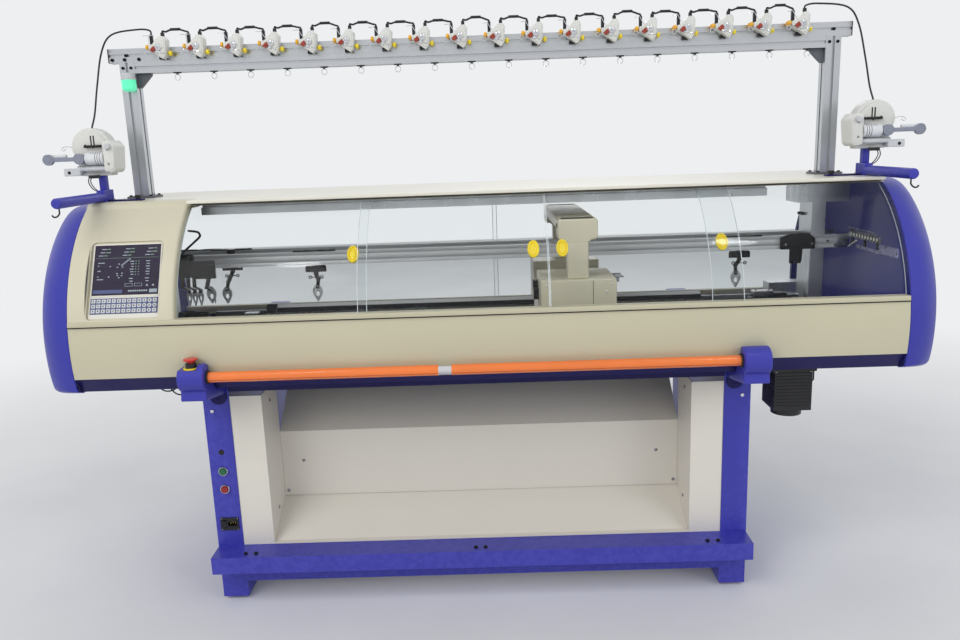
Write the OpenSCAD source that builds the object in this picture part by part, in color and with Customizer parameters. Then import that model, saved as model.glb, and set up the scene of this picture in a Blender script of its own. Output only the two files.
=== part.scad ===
// Flat knitting machine with two needle beds, one carriage and sliding curved covers.
// X runs along the needle beds, the front of the machine faces -Y, and Z is up from the floor.

/* [Head] */
// Width of the head between the seams of its two end caps
head_w = 2248; // [1900:4:2500]
// How far each end cap reaches beyond its seam
cap_w = 126; // [90:2:160]
// How much the end caps draw in towards their outer faces
cap_round = 160; // [110:5:190]
// Wall of the moulded end caps
cap_wall = 4; // [3:0.5:6]
// Radius of the head's round front and back
head_r = 450; // [440:2:470]
// Height of the centre of that round above the floor
head_z = 805; // [800:1:812]
// Height of the top board's upper face
head_top = 1197; // [1192:1:1200]
// Height of the head's underside
tray_z = 690; // [680:1:700]
// Thickness of the top board
board_t = 10; // [8:1:14]
// Depth of the top board from front to back
board_d = 524; // [500:4:540]
// Thickness of the head's steel sheet
shell_t = 3; // [2:0.5:4]
// Height of the lower edge of the lower covers
skirt_z = 735; // [725:1:745]
// Height of the seam between the front lower cover and its track
seam_z = 880; // [870:1:890]
// Height of the same seam at the rear, where the clear covers reach further down
rear_seam_z = 752; // [750:1:780]

/* [Sliding covers] */
// Thickness of the clear cover sheets
sheet_t = 3; // [2:0.5:4]
// Distance between the outer and the inner cover track
track_step = 14; // [12:1:18]
// Height of the lower cover tracks
track_h = 13; // [11:1:16]
// Width of one front cover
cover_w = 515; // [500:1:530]
// Where the two middle front covers meet
cover_meet_x = 173; // [160:1:190]
// Where the two rear covers meet
rear_meet_x = 36; // [20:1:60]
// Distance of a finger grip's centre from its cover's edge
grip_inset = 38; // [30:1:50]
// Width of a finger grip
grip_w = 32; // [26:1:36]
// Length of a finger grip
grip_h = 50; // [42:1:60]
// Height of the front finger grips
grip_z = 1043; // [1000:1:1080]

/* [Console] */
// Width of the console at the left end of the head
console_w = 289; // [260:1:300]
// Width of the recess for screen and keypad
recess_w = 197; // [190:1:220]
// Length of that recess along its slope
recess_h = 223; // [215:1:230]
// Width of the screen
screen_w = 176; // [150:1:184]
// Height of the screen
screen_h = 146; // [120:1:150]
// Width of the keypad
keypad_w = 180; // [150:1:186]
// Height of the keypad
keypad_h = 42; // [36:1:46]

/* [Base] */
// How far the base stands left of the head's middle
base_shift = 38; // [0:1:60]
// Width over the two pedestals
base_w = 1570; // [1500:2:1640]
// Depth of the pedestals from front to back
base_d = 660; // [600:2:700]
// Width of one pedestal
leg_w = 76; // [66:1:96]
// Sheet thickness of the pedestals
leg_t = 4; // [3:0.5:6]
// Height of the opening between a pedestal's feet
foot_h = 60; // [40:1:80]
// Length of one foot from front to back
foot_l = 120; // [90:1:160]
// Radius of the levelling pads
pad_r = 27; // [20:1:32]
// Height of the levelling pads
pad_h = 10; // [6:1:16]
// Height of the front ledge's upper face
ledge_top = 177; // [165:1:190]
// Height of the ledge's front face
ledge_h = 51; // [40:1:60]
// How far the ledge reaches in front of the pedestals
ledge_reach = 80; // [60:1:90]

/* [Fabric bay] */
// Clear width of the bay where the fabric comes down
bay_w = 1234; // [1150:2:1300]
// Distance of the bay's back panel in front of the middle
bay_back = 160; // [140:1:180]
// Sheet thickness of the bay's panels
panel_t = 3; // [2:0.5:4]
// Height of the chute's rear edge
chute_back_z = 256; // [240:1:280]
// Height of the bay's upper edge
bay_top = 640; // [620:1:648]

/* [Needle beds] */
// How far the beds stand left of the head's middle
bed_shift = 12; // [0:1:30]
// Length of the needle beds
bed_len = 1380; // [1300:10:1420]
// Slope of each bed below the horizontal
bed_angle = 40; // [38:1:42]
// Height of the beds' upper edges
bed_top = 845; // [842:1:850]
// Gap between the two beds
bed_gap = 6; // [4:0.5:10]
// Length of a bed down its slope
bed_run = 180; // [170:1:184]
// Thickness of a bed
bed_t = 22; // [18:1:26]
// Distance between the guide slots in a bed
slot_pitch = 20; // [16:1:30]
// Width of a guide slot
slot_w = 3; // [2:0.5:6]
// Depth of a guide slot
slot_depth = 6; // [3:0.5:8]
// How far the rear bed racks to either side
rack_travel = 25; // [15:1:40]

/* [Carriage] */
// Where the carriage stands at rest
carriage_x = 264; // [-400:1:400]
// Width of the cam boxes
cam_w = 214; // [180:2:240]
// Width of the bridge at its top
bridge_w = 114; // [90:2:140]
// Width of the bridge's columns
bridge_leg_w = 60; // [46:1:80]
// Height of the top of the bridge
bridge_top = 1110; // [1100:1:1120]
// Distance of the columns' outer faces from the middle
bridge_out = 285; // [270:1:292]
// Depth of the columns
bridge_leg = 50; // [40:1:60]
// Height of the top of the cam boxes
cam_top = 941; // [938:1:950]
// Distance of the carriage's guide rails from the middle
guide_y = 215; // [210:1:222]
// Height of the guide rails' upper faces
guide_top = 785; // [780:1:790]

/* [Yarn rails and carriers] */
// Distance of the two yarn rails from the middle
rail_y = 60; // [56:1:64]
// Thickness of a yarn rail
rail_t = 18; // [14:1:18]
// Height of a yarn rail's underside
rail_z = 976; // [970:1:985]
// Height of a yarn rail's section
rail_h = 40; // [30:1:46]
// Width of a yarn carrier's crosspiece
carrier_w = 65; // [50:1:76]
// Thickness of a yarn carrier's plate
carrier_t = 6; // [4:0.5:7]
// Where the four carriers stand at rest
carrier_x = [-528, -818, -925, 787];
// How far each carrier's tip stands to the side of its plate
carrier_lean = [-11, -15, 55, 4];

/* [Yarn stand] */
// Distance of the two posts from the middle
post_x = 1050; // [1030:1:1060]
// Width of the posts' section
post_w = 45; // [40:1:50]
// How far the posts stand in front of the middle
post_y = 10; // [0:1:20]
// Height of the lower top rail's underside
stand_z = 1566; // [1500:1:1600]
// Height of the lower top rail
low_rail_h = 32; // [28:1:40]
// Height of the upper top rail
top_rail_h = 40; // [36:1:46]
// Length of the upper top rail
top_rail_len = 2210; // [2150:2:2260]
// Number of yarn tensioners on the rail
tensioners = 18; // [12:1:18]
// Distance between two tensioners
tensioner_pitch = 110.7; // [108:0.1:116]
// Depth of a tensioner's housing
tensioner_d = 36; // [28:1:44]

/* [Side feeders] */
// Distance of the feeder posts from the middle
feeder_x = 1105; // [1095:1:1108]
// Radius of the round guide bars on the end caps
bar_r = 14; // [10:0.5:16]
// Length of those bars
bar_len = 262; // [220:1:300]
// Height of the middle of the feeders
feeder_z = 1350; // [1330:1:1380]
// Radius of a feeder's dome
dome_r = 58; // [50:1:64]
// Radius of the feed rollers
feed_r = 18; // [14:0.5:20]

/* [Operating bars] */
// Distance of the bars from the middle of the machine
oper_y = 469; // [466:1:475]
// Height of the bars
oper_z = 738; // [734:1:742]
// Radius of the bars
oper_r = 14.5; // [12:0.5:16]
// Clear length of the bars between their brackets
oper_len = 1430; // [1380:2:1440]
// Width of a bracket
bracket_w = 70; // [60:1:76]

/* [Drive] */
// Radius of the drive pulleys
pulley_r = 30; // [24:1:34]
// Distance of the pulleys' shafts from the middle, along the head
pulley_x = 852; // [848:1:870]
// Distance of the belt's middle line in front of the middle
belt_y = 320; // [316:1:322]
// Radius of the take-down rollers
roller_r = 25; // [20:0.5:26]
// Height of the take-down rollers' axes
roller_z = 660; // [656:1:662]

/* [Hidden] */
$fn = 96;

blue = [0.25, 0.26, 0.66];
navy = [0.13, 0.12, 0.34];
beige = [0.74, 0.71, 0.60];
cream = [0.85, 0.83, 0.77];
alu = [0.78, 0.79, 0.80];
steel = [0.55, 0.56, 0.58];
dark = [0.12, 0.12, 0.13];
grey = [0.72, 0.73, 0.74];

// Gap left between a seated piece and its seat
seat = 0.3;
// Radial clearance of a shaft in its bearing
run_fit = 0.05;
head_end = head_w / 2;
base_x = -base_shift;
bed_x = -bed_shift;
console_edge = -head_end + console_w;
cap_top = head_top - 7;
cap_bottom = tray_z - 4;
board_z = head_top - board_t;
leg_front = base_d / 2;
leg_centre = (base_w - leg_w) / 2;
leg_inner = base_w / 2 - leg_w;
beam_lo = foot_h;
beam_d = 40;
cross_h = 35;

// Draws a profile given as y and z, along X and about the middle.
module along_x(length) {
    rotate([90, 0, 90]) linear_extrude(length, center = true) children();
}

// Draws a profile given as x and z, from y towards the back.
module along_y(y, length) {
    translate([0, y + length, 0]) rotate([90, 0, 0]) linear_extrude(length) children();
}

module both_sides() {
    children();
    mirror([1, 0, 0]) children();
}

module front_and_back() {
    children();
    mirror([0, 1, 0]) children();
}

// A round rod along X, Y or Z from a point
module rod_x(p, length, r) { translate(p) rotate([0, 90, 0]) cylinder(length, r = r); }
module rod_y(p, length, r) { translate(p) rotate([-90, 0, 0]) cylinder(length, r = r); }
module rod_z(p, length, r) { translate(p) cylinder(length, r = r); }

// A straight rod between two points
module rod_to(a, b, r) {
    v = b - a;
    translate(a) rotate([0, acos(v[2] / norm(v)), atan2(v[1], v[0])]) cylinder(norm(v), r = r);
}

// A stretch of bent wire in the plane of X and Z, from one angle to another
module bend(r, wire, from, to) {
    rotate([90, 0, 0]) rotate([0, 0, from]) rotate_extrude(angle = to - from)
        translate([r, 0]) circle(wire, $fn = 24);
}

// Distance from the middle to the head's round at a height
function round_y(z, r = head_r) = sqrt(r * r - (z - head_z) * (z - head_z));

// A stretch of the head's round wall, in y and z, on the front side
module wall_part(r_out, r_in, z_lo, z_hi) {
    intersection() {
        translate([0, head_z]) difference() {
            circle(r_out);
            circle(r_in);
        }
        translate([-r_out - 1, z_lo]) square([r_out + 1, z_hi - z_lo]);
    }
}

// Sheet that follows a line of points, in y and z
module folded(points, t) {
    for (i = [0 : len(points) - 2]) {
        a = points[i];
        v = points[i + 1] - a;
        translate(a) rotate(atan2(v[1], v[0])) translate([-t / 2, -t / 2]) square([norm(v) + t, t]);
    }
}

// Base

module pedestal_box() {
    inner_h = tray_z - foot_h - 2 * leg_t;
    difference() {
        translate([-leg_w / 2, -leg_front, pad_h]) cube([leg_w, base_d, tray_z - pad_h]);
        translate([-leg_w / 2 - 1, foot_l - leg_front, pad_h - 1])
            cube([leg_w + 2, base_d - 2 * foot_l, foot_h - pad_h + 1]);
        translate([-leg_w / 2 + leg_t, leg_t - leg_front, foot_h + leg_t])
            cube([leg_w - 2 * leg_t, base_d - 2 * leg_t, inner_h]);
    }
}

// The right pedestal: a closed cabinet with a service door and bearings for the take-down rollers
module pedestal() {
    door_d = base_d - 120;
    inner = leg_inner - bearing_l;
    difference() {
        union() {
            translate([leg_centre, 0, 0]) pedestal_box();
            translate([base_w / 2, -door_d / 2, foot_h + 60]) cube([1.8, door_d, tray_z - foot_h - 130]);
            for (s = [-1, 1]) rod_x([inner, s * roller_y, roller_z], bearing_l + leg_t, 16);
        }
        for (s = [-1, 1]) rod_x([inner - 1, s * roller_y, roller_z], bearing_l + 2, shaft_r + run_fit);
    }
}

module right_pedestal() {
    color(blue) translate([base_x, 0, 0]) pedestal();
}

// The left pedestal carries the controls.
module left_pedestal() {
    color(blue) difference() {
        translate([base_x, 0, 0]) mirror([1, 0, 0]) pedestal();
        translate([leg_x, -leg_front - 1, 0]) {
            for (z = [start_z, stop_z]) rod_y([0, 0, z], leg_t + 2, button_r + 0.6);
            translate([-21, 0, inlet_z - 12]) cube([49, leg_t + 2, 24]);
        }
    }
}
bearing_l = 8;
roller_y = roller_r + 1;
shaft_r = 10;

// Heights of the controls on the left pedestal's front
start_z = 414;
stop_z = 358;
plug_z = 472;
inlet_z = 247;
button_r = 10.5;
button_travel = 4;
bezel_r = 14;
bezel_t = 6;

module front_ledge_beam() {
    y = -leg_front;
    color(blue) translate([base_x, 0, 0]) {
        along_x(base_w - 4) polygon([[y, ledge_top], [y - ledge_reach, ledge_top],
            [y - ledge_reach, ledge_top - ledge_h], [y, ledge_top - ledge_h - 26]]);
        along_x(2 * leg_inner) difference() {
            translate([y, beam_lo]) square([beam_d, ledge_top - beam_lo]);
            translate([y + leg_t, beam_lo + leg_t]) square([beam_d, ledge_top - beam_lo - 2 * leg_t]);
        }
    }
}

// The rear beam and the two beams that carry the head between the pedestals
module cross_beams() {
    color(navy) translate([base_x, 0, 0]) along_x(2 * leg_inner) {
        for (s = [-1, 1]) translate([s * (leg_front - beam_d / 2), tray_z - cross_h / 2]) difference() {
            square([beam_d, cross_h], center = true);
            square([beam_d - 2 * leg_t, cross_h - 2 * leg_t], center = true);
        }
        translate([leg_front - beam_d, beam_lo]) difference() {
            square([beam_d, ledge_top - beam_lo]);
            translate([leg_t, leg_t]) square([beam_d - 2 * leg_t, ledge_top - beam_lo - 2 * leg_t]);
        }
    }
}

module levelling_feet() {
    color(dark) for (x = [-1, 1], y = [-1, 1])
        translate([base_x + x * leg_centre, y * (leg_front - foot_l / 2), 0]) {
            cylinder(pad_h * 0.6, r = pad_r);
            cylinder(pad_h, r = pad_r * 0.4);
        }
}

// Fabric bay

module bay_side_panels() {
    out = leg_inner - seat;
    width = out - bay_w / 2;
    depth = leg_front - bay_back - 4;
    lo = ledge_top + seat;
    color(cream) translate([base_x, 0, 0]) both_sides()
        translate([bay_w / 2, 2 - leg_front, lo]) difference() {
            cube([width, depth, bay_top - lo]);
            translate([panel_t, panel_t, -1]) cube([width, depth, bay_top - lo + 2]);
        }
}

module bay_back_panel() {
    color(cream) translate([base_x, 0, 0]) along_x(bay_w - 2 * seat)
        folded([[-bay_back, chute_back_z + 4], [-bay_back, 470], [roller_r + 4, 618]], panel_t);
}

module fabric_chute() {
    y = -leg_front;
    color(cream) translate([base_x, 0, 0]) along_x(bay_w - 2 * seat)
        folded([[y + 2, ledge_top + 2.4], [y + 18, ledge_top + 2.4], [-bay_back - 6, chute_back_z],
            [-bay_back + 12, chute_back_z]], panel_t);
}

// Controls on the left pedestal

leg_x = base_x - leg_centre;

// Two bezels, a blank plug and the plate of the power inlet
module control_fittings() {
    color(steel) translate([leg_x, -leg_front, 0]) {
        for (z = [start_z, stop_z]) difference() {
            rod_y([0, -bezel_t, z], bezel_t, bezel_r);
            rod_y([0, -bezel_t - 1, z], bezel_t + 2, button_r + 0.4);
        }
        rod_y([0, -3, plug_z], 3, 8);
        difference() {
            translate([-24, -3, inlet_z - 20]) cube([54, 3, 40]);
            translate([-19.5, -4, inlet_z - 12.5]) cube([13, 5, 25]);
            rod_x([-21.5, -1.5, inlet_z], 17, 0.85);
            translate([-2, -4, inlet_z - 9]) cube([26, 5, 18]);
        }
        difference() {
            translate([-5, 0, inlet_z - 9.5]) cube([32, 22, 19]);
            translate([-2, -1, inlet_z - 7]) cube([26, 19, 14]);
        }
        for (p = [[4, 0], [11, 2.5], [18, 0]]) translate([p[0] - 1, 4, inlet_z + p[1] - 3]) cube([2, 14, 6]);
    }
}

// Rocker of the power switch, on a pivot along X
module power_switch() {
    color(dark) translate([leg_x - 13, -leg_front - 1.5, inlet_z]) {
        along_x(12) polygon([[-3.5, 11], [-1.9, 0], [-2.3, -11], [0.5, -9], [1.2, 0], [0.5, 9]]);
        rod_x([-8, 0, 0], 16, 0.8);
    }
}

module push_button(z, tint) {
    color(tint) translate([leg_x, -leg_front, 0]) {
        rod_y([0, -bezel_t - 5, z], 5 + bezel_t + 14, button_r);
        rod_y([0, leg_t + 4, z], 3, button_r + 3);
    }
}

// The emergency stop stands on the left bracket of the front bar
estop_x = base_x - (oper_len + bracket_w) / 2 - 3.5;
estop_y = -oper_y - 3;
estop_seat = oper_z + 26;

module emergency_stop_base() {
    color("gold") translate([estop_x, estop_y, estop_seat]) difference() {
        union() {
            cylinder(4, r = 21);
            cylinder(14, r = 15);
        }
        translate([0, 0, 3]) cylinder(12, r = 8.1);
    }
}

module emergency_stop_button() {
    color("red") translate([estop_x, estop_y, estop_seat]) {
        translate([0, 0, 8]) cylinder(12, r = 8);
        translate([0, 0, 19]) cylinder(4, r1 = 17, r2 = 20);
        translate([0, 0, 23]) cylinder(6, r = 20);
    }
}

// Operating bars

socket_d = 10;

module bar_bracket() {
    toe = tray_reach - 36;
    difference() {
        along_x(bracket_w) difference() {
            union() {
                translate([-oper_y, oper_z]) circle(38);
                polygon([[-oper_y - 37, oper_z - 8], [-oper_y - 26, tray_z - 14], [-leg_front - seat, tray_z - 40],
                    [-leg_front - seat, tray_z - 1], [-toe, tray_z - 1], [-oper_y + 20, oper_z]]);
            }
            polygon([[-tray_reach - 0.8, skirt_z + 0.3], [-toe - 0.8, tray_z - 0.7], [0, tray_z - 0.7], [0, skirt_z + 0.3]]);
            intersection() {
                translate([0, head_z]) circle(head_r + 0.7);
                translate([-head_r - 1, skirt_z]) square([head_r, 200]);
            }
        }
        rod_x([-bracket_w / 2 - 1, -oper_y, oper_z], socket_d + 1, oper_r + run_fit);
    }
}

module bar_brackets() {
    color(blue) difference() {
        translate([base_x, 0, 0]) front_and_back() both_sides()
            translate([(oper_len + bracket_w) / 2, 0, 0]) bar_bracket();
        translate([estop_x, estop_y, estop_seat]) cylinder(40, r = 24);
    }
}

module operating_bar(side) {
    length = oper_len + 2 * (socket_d - 1);
    color([0.93, 0.50, 0.18]) rod_x([base_x - length / 2, side * oper_y, oper_z], length, oper_r);
}

// Head

// Solid of revolution that an end cap is cut from; grow is negative for its inside.
module cap_form(grow) {
    steps = 9;
    r0 = head_r + grow;
    depth = cap_w + grow;
    curve = [for (i = [0 : steps]) let (a = 90 * i / steps)
        [r0 - cap_round * (1 - cos(a)), depth * sin(a)]];
    intersection() {
        translate([head_end, 0, head_z]) rotate([0, 90, 0])
            rotate_extrude() polygon(concat([[0, 0]], curve, [[0, depth]]));
        translate([head_end - 1, -head_r - 1, cap_bottom - grow])
            cube([cap_w + 2, 2 * head_r + 2, cap_top - cap_bottom + 2 * grow]);
    }
}

module end_cap() {
    color(blue) difference() {
        cap_form(0);
        cap_form(-cap_wall);
    }
}

tray_reach = round_y(skirt_z, head_r - shell_t);

module head_tray() {
    toe = tray_reach - 36;
    slot_y = 58;
    length = head_w - 2 * seat;
    color(navy) difference() {
        along_x(length) difference() {
            polygon([[-tray_reach, skirt_z], [-toe, tray_z], [toe, tray_z], [tray_reach, skirt_z]]);
            translate([0, shell_t]) polygon([[-tray_reach + shell_t, skirt_z], [-toe + 2, tray_z],
                [toe - 2, tray_z], [tray_reach - shell_t, skirt_z]]);
        }
        translate([bed_x - bed_len / 2, -slot_y, tray_z - 1]) cube([bed_len, 2 * slot_y, shell_t + 2]);
        translate([pulley_x, -belt_y, tray_z - 1]) cylinder(shell_t + 2, r = 14);
    }
}

// A folded cover at the front and a low ledge at the rear
module lower_covers() {
    color(beige) along_x(head_w - 2 * seat) {
        wall_part(head_r, head_r - shell_t, skirt_z + seat, seam_z);
        wall_part(head_r, head_r - 16, skirt_z + seat, skirt_z + seat + shell_t);
        wall_part(head_r, head_r - 16, seam_z - shell_t, seam_z);
        mirror([1, 0]) wall_part(head_r, head_r - 16, skirt_z + seat, rear_seam_z);
    }
}

track_top = seam_z + track_h;
groove = 7;
top_track_h = 6;
top_groove = 4;
sheet_hi = board_z - top_track_h + top_groove - seat;
outer_r = head_r - 4;
inner_r = outer_r - track_step;

// Grooves for the two layers of sheet
module track_grooves(z_lo, z_hi) {
    for (r = [outer_r, inner_r]) wall_part(r + 0.6, r - sheet_t - 0.6, z_lo, z_hi);
}

module cover_tracks() {
    color(beige) for (m = [0, 1]) mirror([0, m, 0]) {
        lo = m == 0 ? seam_z : rear_seam_z;
        top = board_z - top_track_h;
        along_x(head_w - 2 * seat) difference() {
            wall_part(m == 0 ? head_r + 2 : head_r, inner_r - sheet_t - 4, lo, lo + track_h);
            track_grooves(lo + track_h - groove, lo + track_h + 1);
        }
        start = m == 0 ? console_edge + seat : -head_end + seat;
        translate([(head_end - seat + start) / 2, 0, 0]) along_x(head_end - seat - start) difference() {
            wall_part(head_r, inner_r - sheet_t - 4, top, board_z);
            track_grooves(top - 1, top + top_groove);
        }
    }
}

// Places a flat thing on the head's round at a height, with its own Z pointing outwards.
module on_round(x, z, r) {
    a = asin((z - head_z) / r);
    translate([x, 0, head_z]) rotate([90 - a, 0, 0]) translate([0, 0, r]) children();
}

module oval(w, h, depth) {
    linear_extrude(depth) union() {
        square([w, h - w], center = true);
        for (s = [-1, 1]) translate([0, s * (h - w) / 2]) circle(w / 2 - 0.01, $fn = 48);
    }
}

// One clear cover from x to x + width on a track above a seam, with its finger grip
module cover(x, width, r, grip_x, grip_height, seam = seam_z) {
    sheet_lo = seam + track_h - groove + seat;
    difference() {
        union() {
            color([0.8, 0.9, 0.95, 0.4]) translate([x + width / 2, 0, 0]) along_x(width)
                wall_part(r, r - sheet_t, sheet_lo, sheet_hi);
            color("gold") on_round(grip_x, grip_height, r) translate([0, 0, -6]) oval(grip_w, grip_h, 8);
        }
        on_round(grip_x, grip_height, r) translate([0, 0, -4]) oval(grip_w - 8, grip_h - 8, 8);
    }
}

module front_cover_1() { cover(console_edge + 1, cover_w, inner_r, console_edge + 1 + cover_w - grip_inset, grip_z); }
module front_cover_2() { cover(cover_meet_x - 1 - cover_w, cover_w, outer_r, cover_meet_x - 1 - grip_inset, grip_z); }
module front_cover_3() { cover(cover_meet_x + 1, cover_w, outer_r, cover_meet_x + 1 + grip_inset, grip_z); }
module front_cover_4() { cover(head_end - 2 - cover_w, cover_w, inner_r, head_end - 2 - cover_w + grip_inset, grip_z); }

rear_lap = 8;
rear_grip_z = grip_z - 100;
module rear_cover_left() {
    mirror([0, 1, 0]) cover(-head_end + 2, head_end - 2 + rear_meet_x + rear_lap, outer_r,
        rear_meet_x + rear_lap - grip_inset - 14, rear_grip_z, rear_seam_z);
}
module rear_cover_right() {
    mirror([0, 1, 0]) cover(rear_meet_x - rear_lap, head_end - 2 - rear_meet_x + rear_lap, inner_r,
        rear_meet_x - rear_lap + grip_inset + 14, rear_grip_z, rear_seam_z);
}

// Console

recess_mid = asin(198 / head_r);
recess_floor = head_r * cos(asin(recess_h / 2 / head_r)) - 6;
console_mid = -head_end + console_w / 2 + 4;
console_back = 150;

// Places a thing on the sloping floor of the console's recess, with its own Y up the slope.
module on_recess(v) {
    translate([console_mid, 0, head_z]) rotate([90 - recess_mid, 0, 0]) translate([0, v, recess_floor])
        children();
}

module console_housing() {
    wall = 4;
    mid = (console_edge - head_end) / 2;
    color(beige) difference() {
        union() {
            translate([mid, 0, 0]) along_x(console_w - 2 * seat) {
                wall_part(head_r, head_r - wall, track_top, head_top);
                translate([-round_y(head_top) - 4, head_top - wall])
                    square([round_y(head_top) + 4 - console_back, wall]);
            }
            translate([console_edge - seat - wall / 2, 0, 0]) along_x(wall) intersection() {
                wall_part(head_r, inner_r - sheet_t - 4, track_top, head_top);
                translate([-head_r, track_top]) square([head_r - console_back, head_top - track_top]);
            }
            intersection() {
                on_recess(0) translate([-recess_w / 2 - 5, -recess_h / 2 - 5, -12])
                    cube([recess_w + 10, recess_h + 10, 60]);
                translate([mid, 0, 0]) along_x(console_w - 2 * seat) wall_part(head_r, 300, track_top, head_top);
            }
        }
        on_recess(0) translate([-recess_w / 2, -recess_h / 2, 0]) cube([recess_w, recess_h, 80]);
    }
}

module display_screen() {
    color([0.2, 0.18, 0.24]) on_recess(recess_h / 2 - 17 - screen_h / 2)
        translate([-screen_w / 2, -screen_h / 2, 0]) cube([screen_w, screen_h, 2.5]);
}

module keypad() {
    rows = 3;
    cols = 13;
    key = [keypad_w / cols * 0.72, keypad_h / rows * 0.66];
    color([0.33, 0.40, 0.62]) on_recess(-recess_h / 2 + 8 + keypad_h / 2) {
        translate([-keypad_w / 2, -keypad_h / 2, 0]) cube([keypad_w, keypad_h, 2]);
        for (i = [0 : cols - 1], j = [0 : rows - 1])
            translate([(i - (cols - 1) / 2) * keypad_w / cols, (j - (rows - 1) / 2) * keypad_h / rows, 2.4])
                cube([key[0], key[1], 1], center = true);
    }
}

// Top of the head

module top_board() {
    color(cream) difference() {
        translate([-head_end + seat, -board_d / 2, board_z]) cube([head_w - 2 * seat, board_d, board_t]);
        translate([-head_end, -board_d / 2 - 1, board_z - 1])
            cube([console_w + seat, board_d / 2 - console_back + 1, board_t + 2]);
    }
}

column_x = 1003;
column_w = 42;
rail_in = rail_y - rail_t / 2;
rail_out = rail_y + rail_t / 2;
rail_end = head_end - 8;
eye_bar_x = rail_end - 4;
eye_bar_y = -270;
eye_bar_z = 1018;

// Uprights between the yarn rails at both ends, beams under the top board, the bed's racking drive,
// and the bar for the row of yarn eyes at the right
module inner_frame() {
    foot_z = tray_z + shell_t;
    head_h = board_z - 1114;
    beam = 28;
    beam_h = 22;
    beam_z = 1146;
    color(alu) both_sides() {
        translate([column_x, -rail_in, foot_z]) cube([column_w, 2 * rail_in, board_z - head_h - foot_z]);
        translate([column_x - 45, -rail_in, board_z - head_h]) cube([156, 2 * rail_in, head_h]);
    }
    color(alu) front_and_back() translate([-pulley_x + 20, -console_back + 1, 0]) {
        translate([0, 0, beam_z]) cube([2 * pulley_x - 40, beam, beam_h]);
        translate([0, beam / 2, beam_z]) cube([2 * pulley_x - 40, 6, board_z - beam_z]);
    }
    color(alu) translate([eye_bar_x, eye_bar_y, eye_bar_z - 9]) cube([4, -rail_out - eye_bar_y, 18]);
    color(dark) translate([column_x - 58, rail_in + 90, foot_z]) cube([140, 60, 142]);
}

// Yarn stand

post_top = stand_z + low_rail_h;

// Section of an extruded post: a square with a groove along each side
module grooved_square(w) {
    difference() {
        square([w, w], center = true);
        for (a = [0 : 90 : 270]) rotate(a) translate([w / 2 - 4, 0]) square([8.2, 8], center = true);
    }
}

module stand_posts() {
    color(alu) both_sides() translate([post_x, -post_y, head_top]) linear_extrude(post_top - head_top)
        grooved_square(post_w);
}

module top_rails() {
    low_len = 2 * post_x - post_w - 2 * seat;
    groove_w = 8;
    color(alu) {
        along_x(top_rail_len) translate([-post_y, post_top + top_rail_h / 2]) difference() {
            square([40, top_rail_h], center = true);
            translate([-20, 0]) square([10, groove_w], center = true);
        }
        along_x(low_len) translate([-post_y, stand_z + low_rail_h / 2]) difference() {
            square([post_w, low_rail_h], center = true);
            translate([-post_w / 2, 0]) square([12, groove_w], center = true);
            translate([0, -low_rail_h / 2]) square([groove_w, 12], center = true);
        }
    }
}

// Where each tensioner stands along the rail
tensioner_xs = [for (i = [0 : tensioners - 1]) (i - (tensioners - 1) / 2) * tensioner_pitch];
rail_front = -post_y - 20;
unit_z = post_top + 12;

module at_tensioners() {
    for (x = tensioner_xs) translate([x, rail_front, unit_z]) children();
}

module tensioner_housings() {
    color(grey) at_tensioners() along_y(-tensioner_d, tensioner_d)
        polygon([[-26, 18], [-26, 32], [-14, 34], [8, 56], [20, 56], [27, 46], [24, 2], [14, -10], [-8, 6]]);
}

module tensioner_knobs() {
    color("gold") at_tensioners() {
        rod_x([-36, -tensioner_d * 0.3, 26], 10, 7);
        rod_x([-36, -tensioner_d * 0.75, 26], 10, 7);
        rod_x([25, -tensioner_d / 2, 8], 12, 7.5);
    }
}

// A flat ring that faces the front
module eye_y(p, r) {
    translate(p) rotate([-90, 0, 0]) difference() {
        cylinder(2.4, r = r);
        translate([0, 0, -1]) cylinder(5, r = r - 2.4);
    }
}

// Wire arms and eyes on the tensioners, eyes under the rail, hooks on the guide bars, eyes at the right
module yarn_guides() {
    color(steel) {
        at_tensioners() {
            rod_y([0, -tensioner_d - 4, 12], 4, 5);
            rod_x([-34, -tensioner_d - 2.8, 12], 60, 1.2);
            eye_y([-38.8, -tensioner_d - 4, 12], 6);
            translate([-24, -tensioner_d * 0.85, 33.6]) cylinder(25, r = 1);
            rod_x([-38, -tensioner_d * 0.85, 58], 28, 1);
        }
        for (x = tensioner_xs) translate([x + 36, -post_y - post_w / 2 + 12, stand_z - 3]) {
            cylinder(3, r = 12);
            eye_y([0, -1.2, -8.5], 9);
        }
        both_sides() translate([feeder_x, -bar_front + 16, bar_z - bar_r]) {
            rod_z([0, 0, -14], 14, 2.5);
            translate([10, 0, -13]) bend(10, 2, 90, 200);
        }
        for (i = [0 : 9]) translate([eye_bar_x, eye_bar_y + 12 + i * 18.5, eye_bar_z]) rotate([0, -90, 0])
            difference() {
                cylinder(3, r = 8);
                translate([0, 0, -1]) cylinder(5, r = 4);
            }
    }
}

module signal_lamp_base() {
    color(grey) translate([-post_x + 10, -post_y - post_w / 2 - 24, stand_z - 20]) {
        cylinder(20, r = 20);
        translate([-6, 0, 6]) cube([12, 24, 10]);
    }
}

module signal_lamp_dome() {
    color([0.3, 0.9, 0.6]) translate([-post_x + 10, -post_y - post_w / 2 - 24, stand_z - 20]) rotate([180, 0, 0]) {
        cylinder(24, r = 21);
        translate([0, 0, 24]) cylinder(9, r1 = 21, r2 = 13);
    }
}

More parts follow.
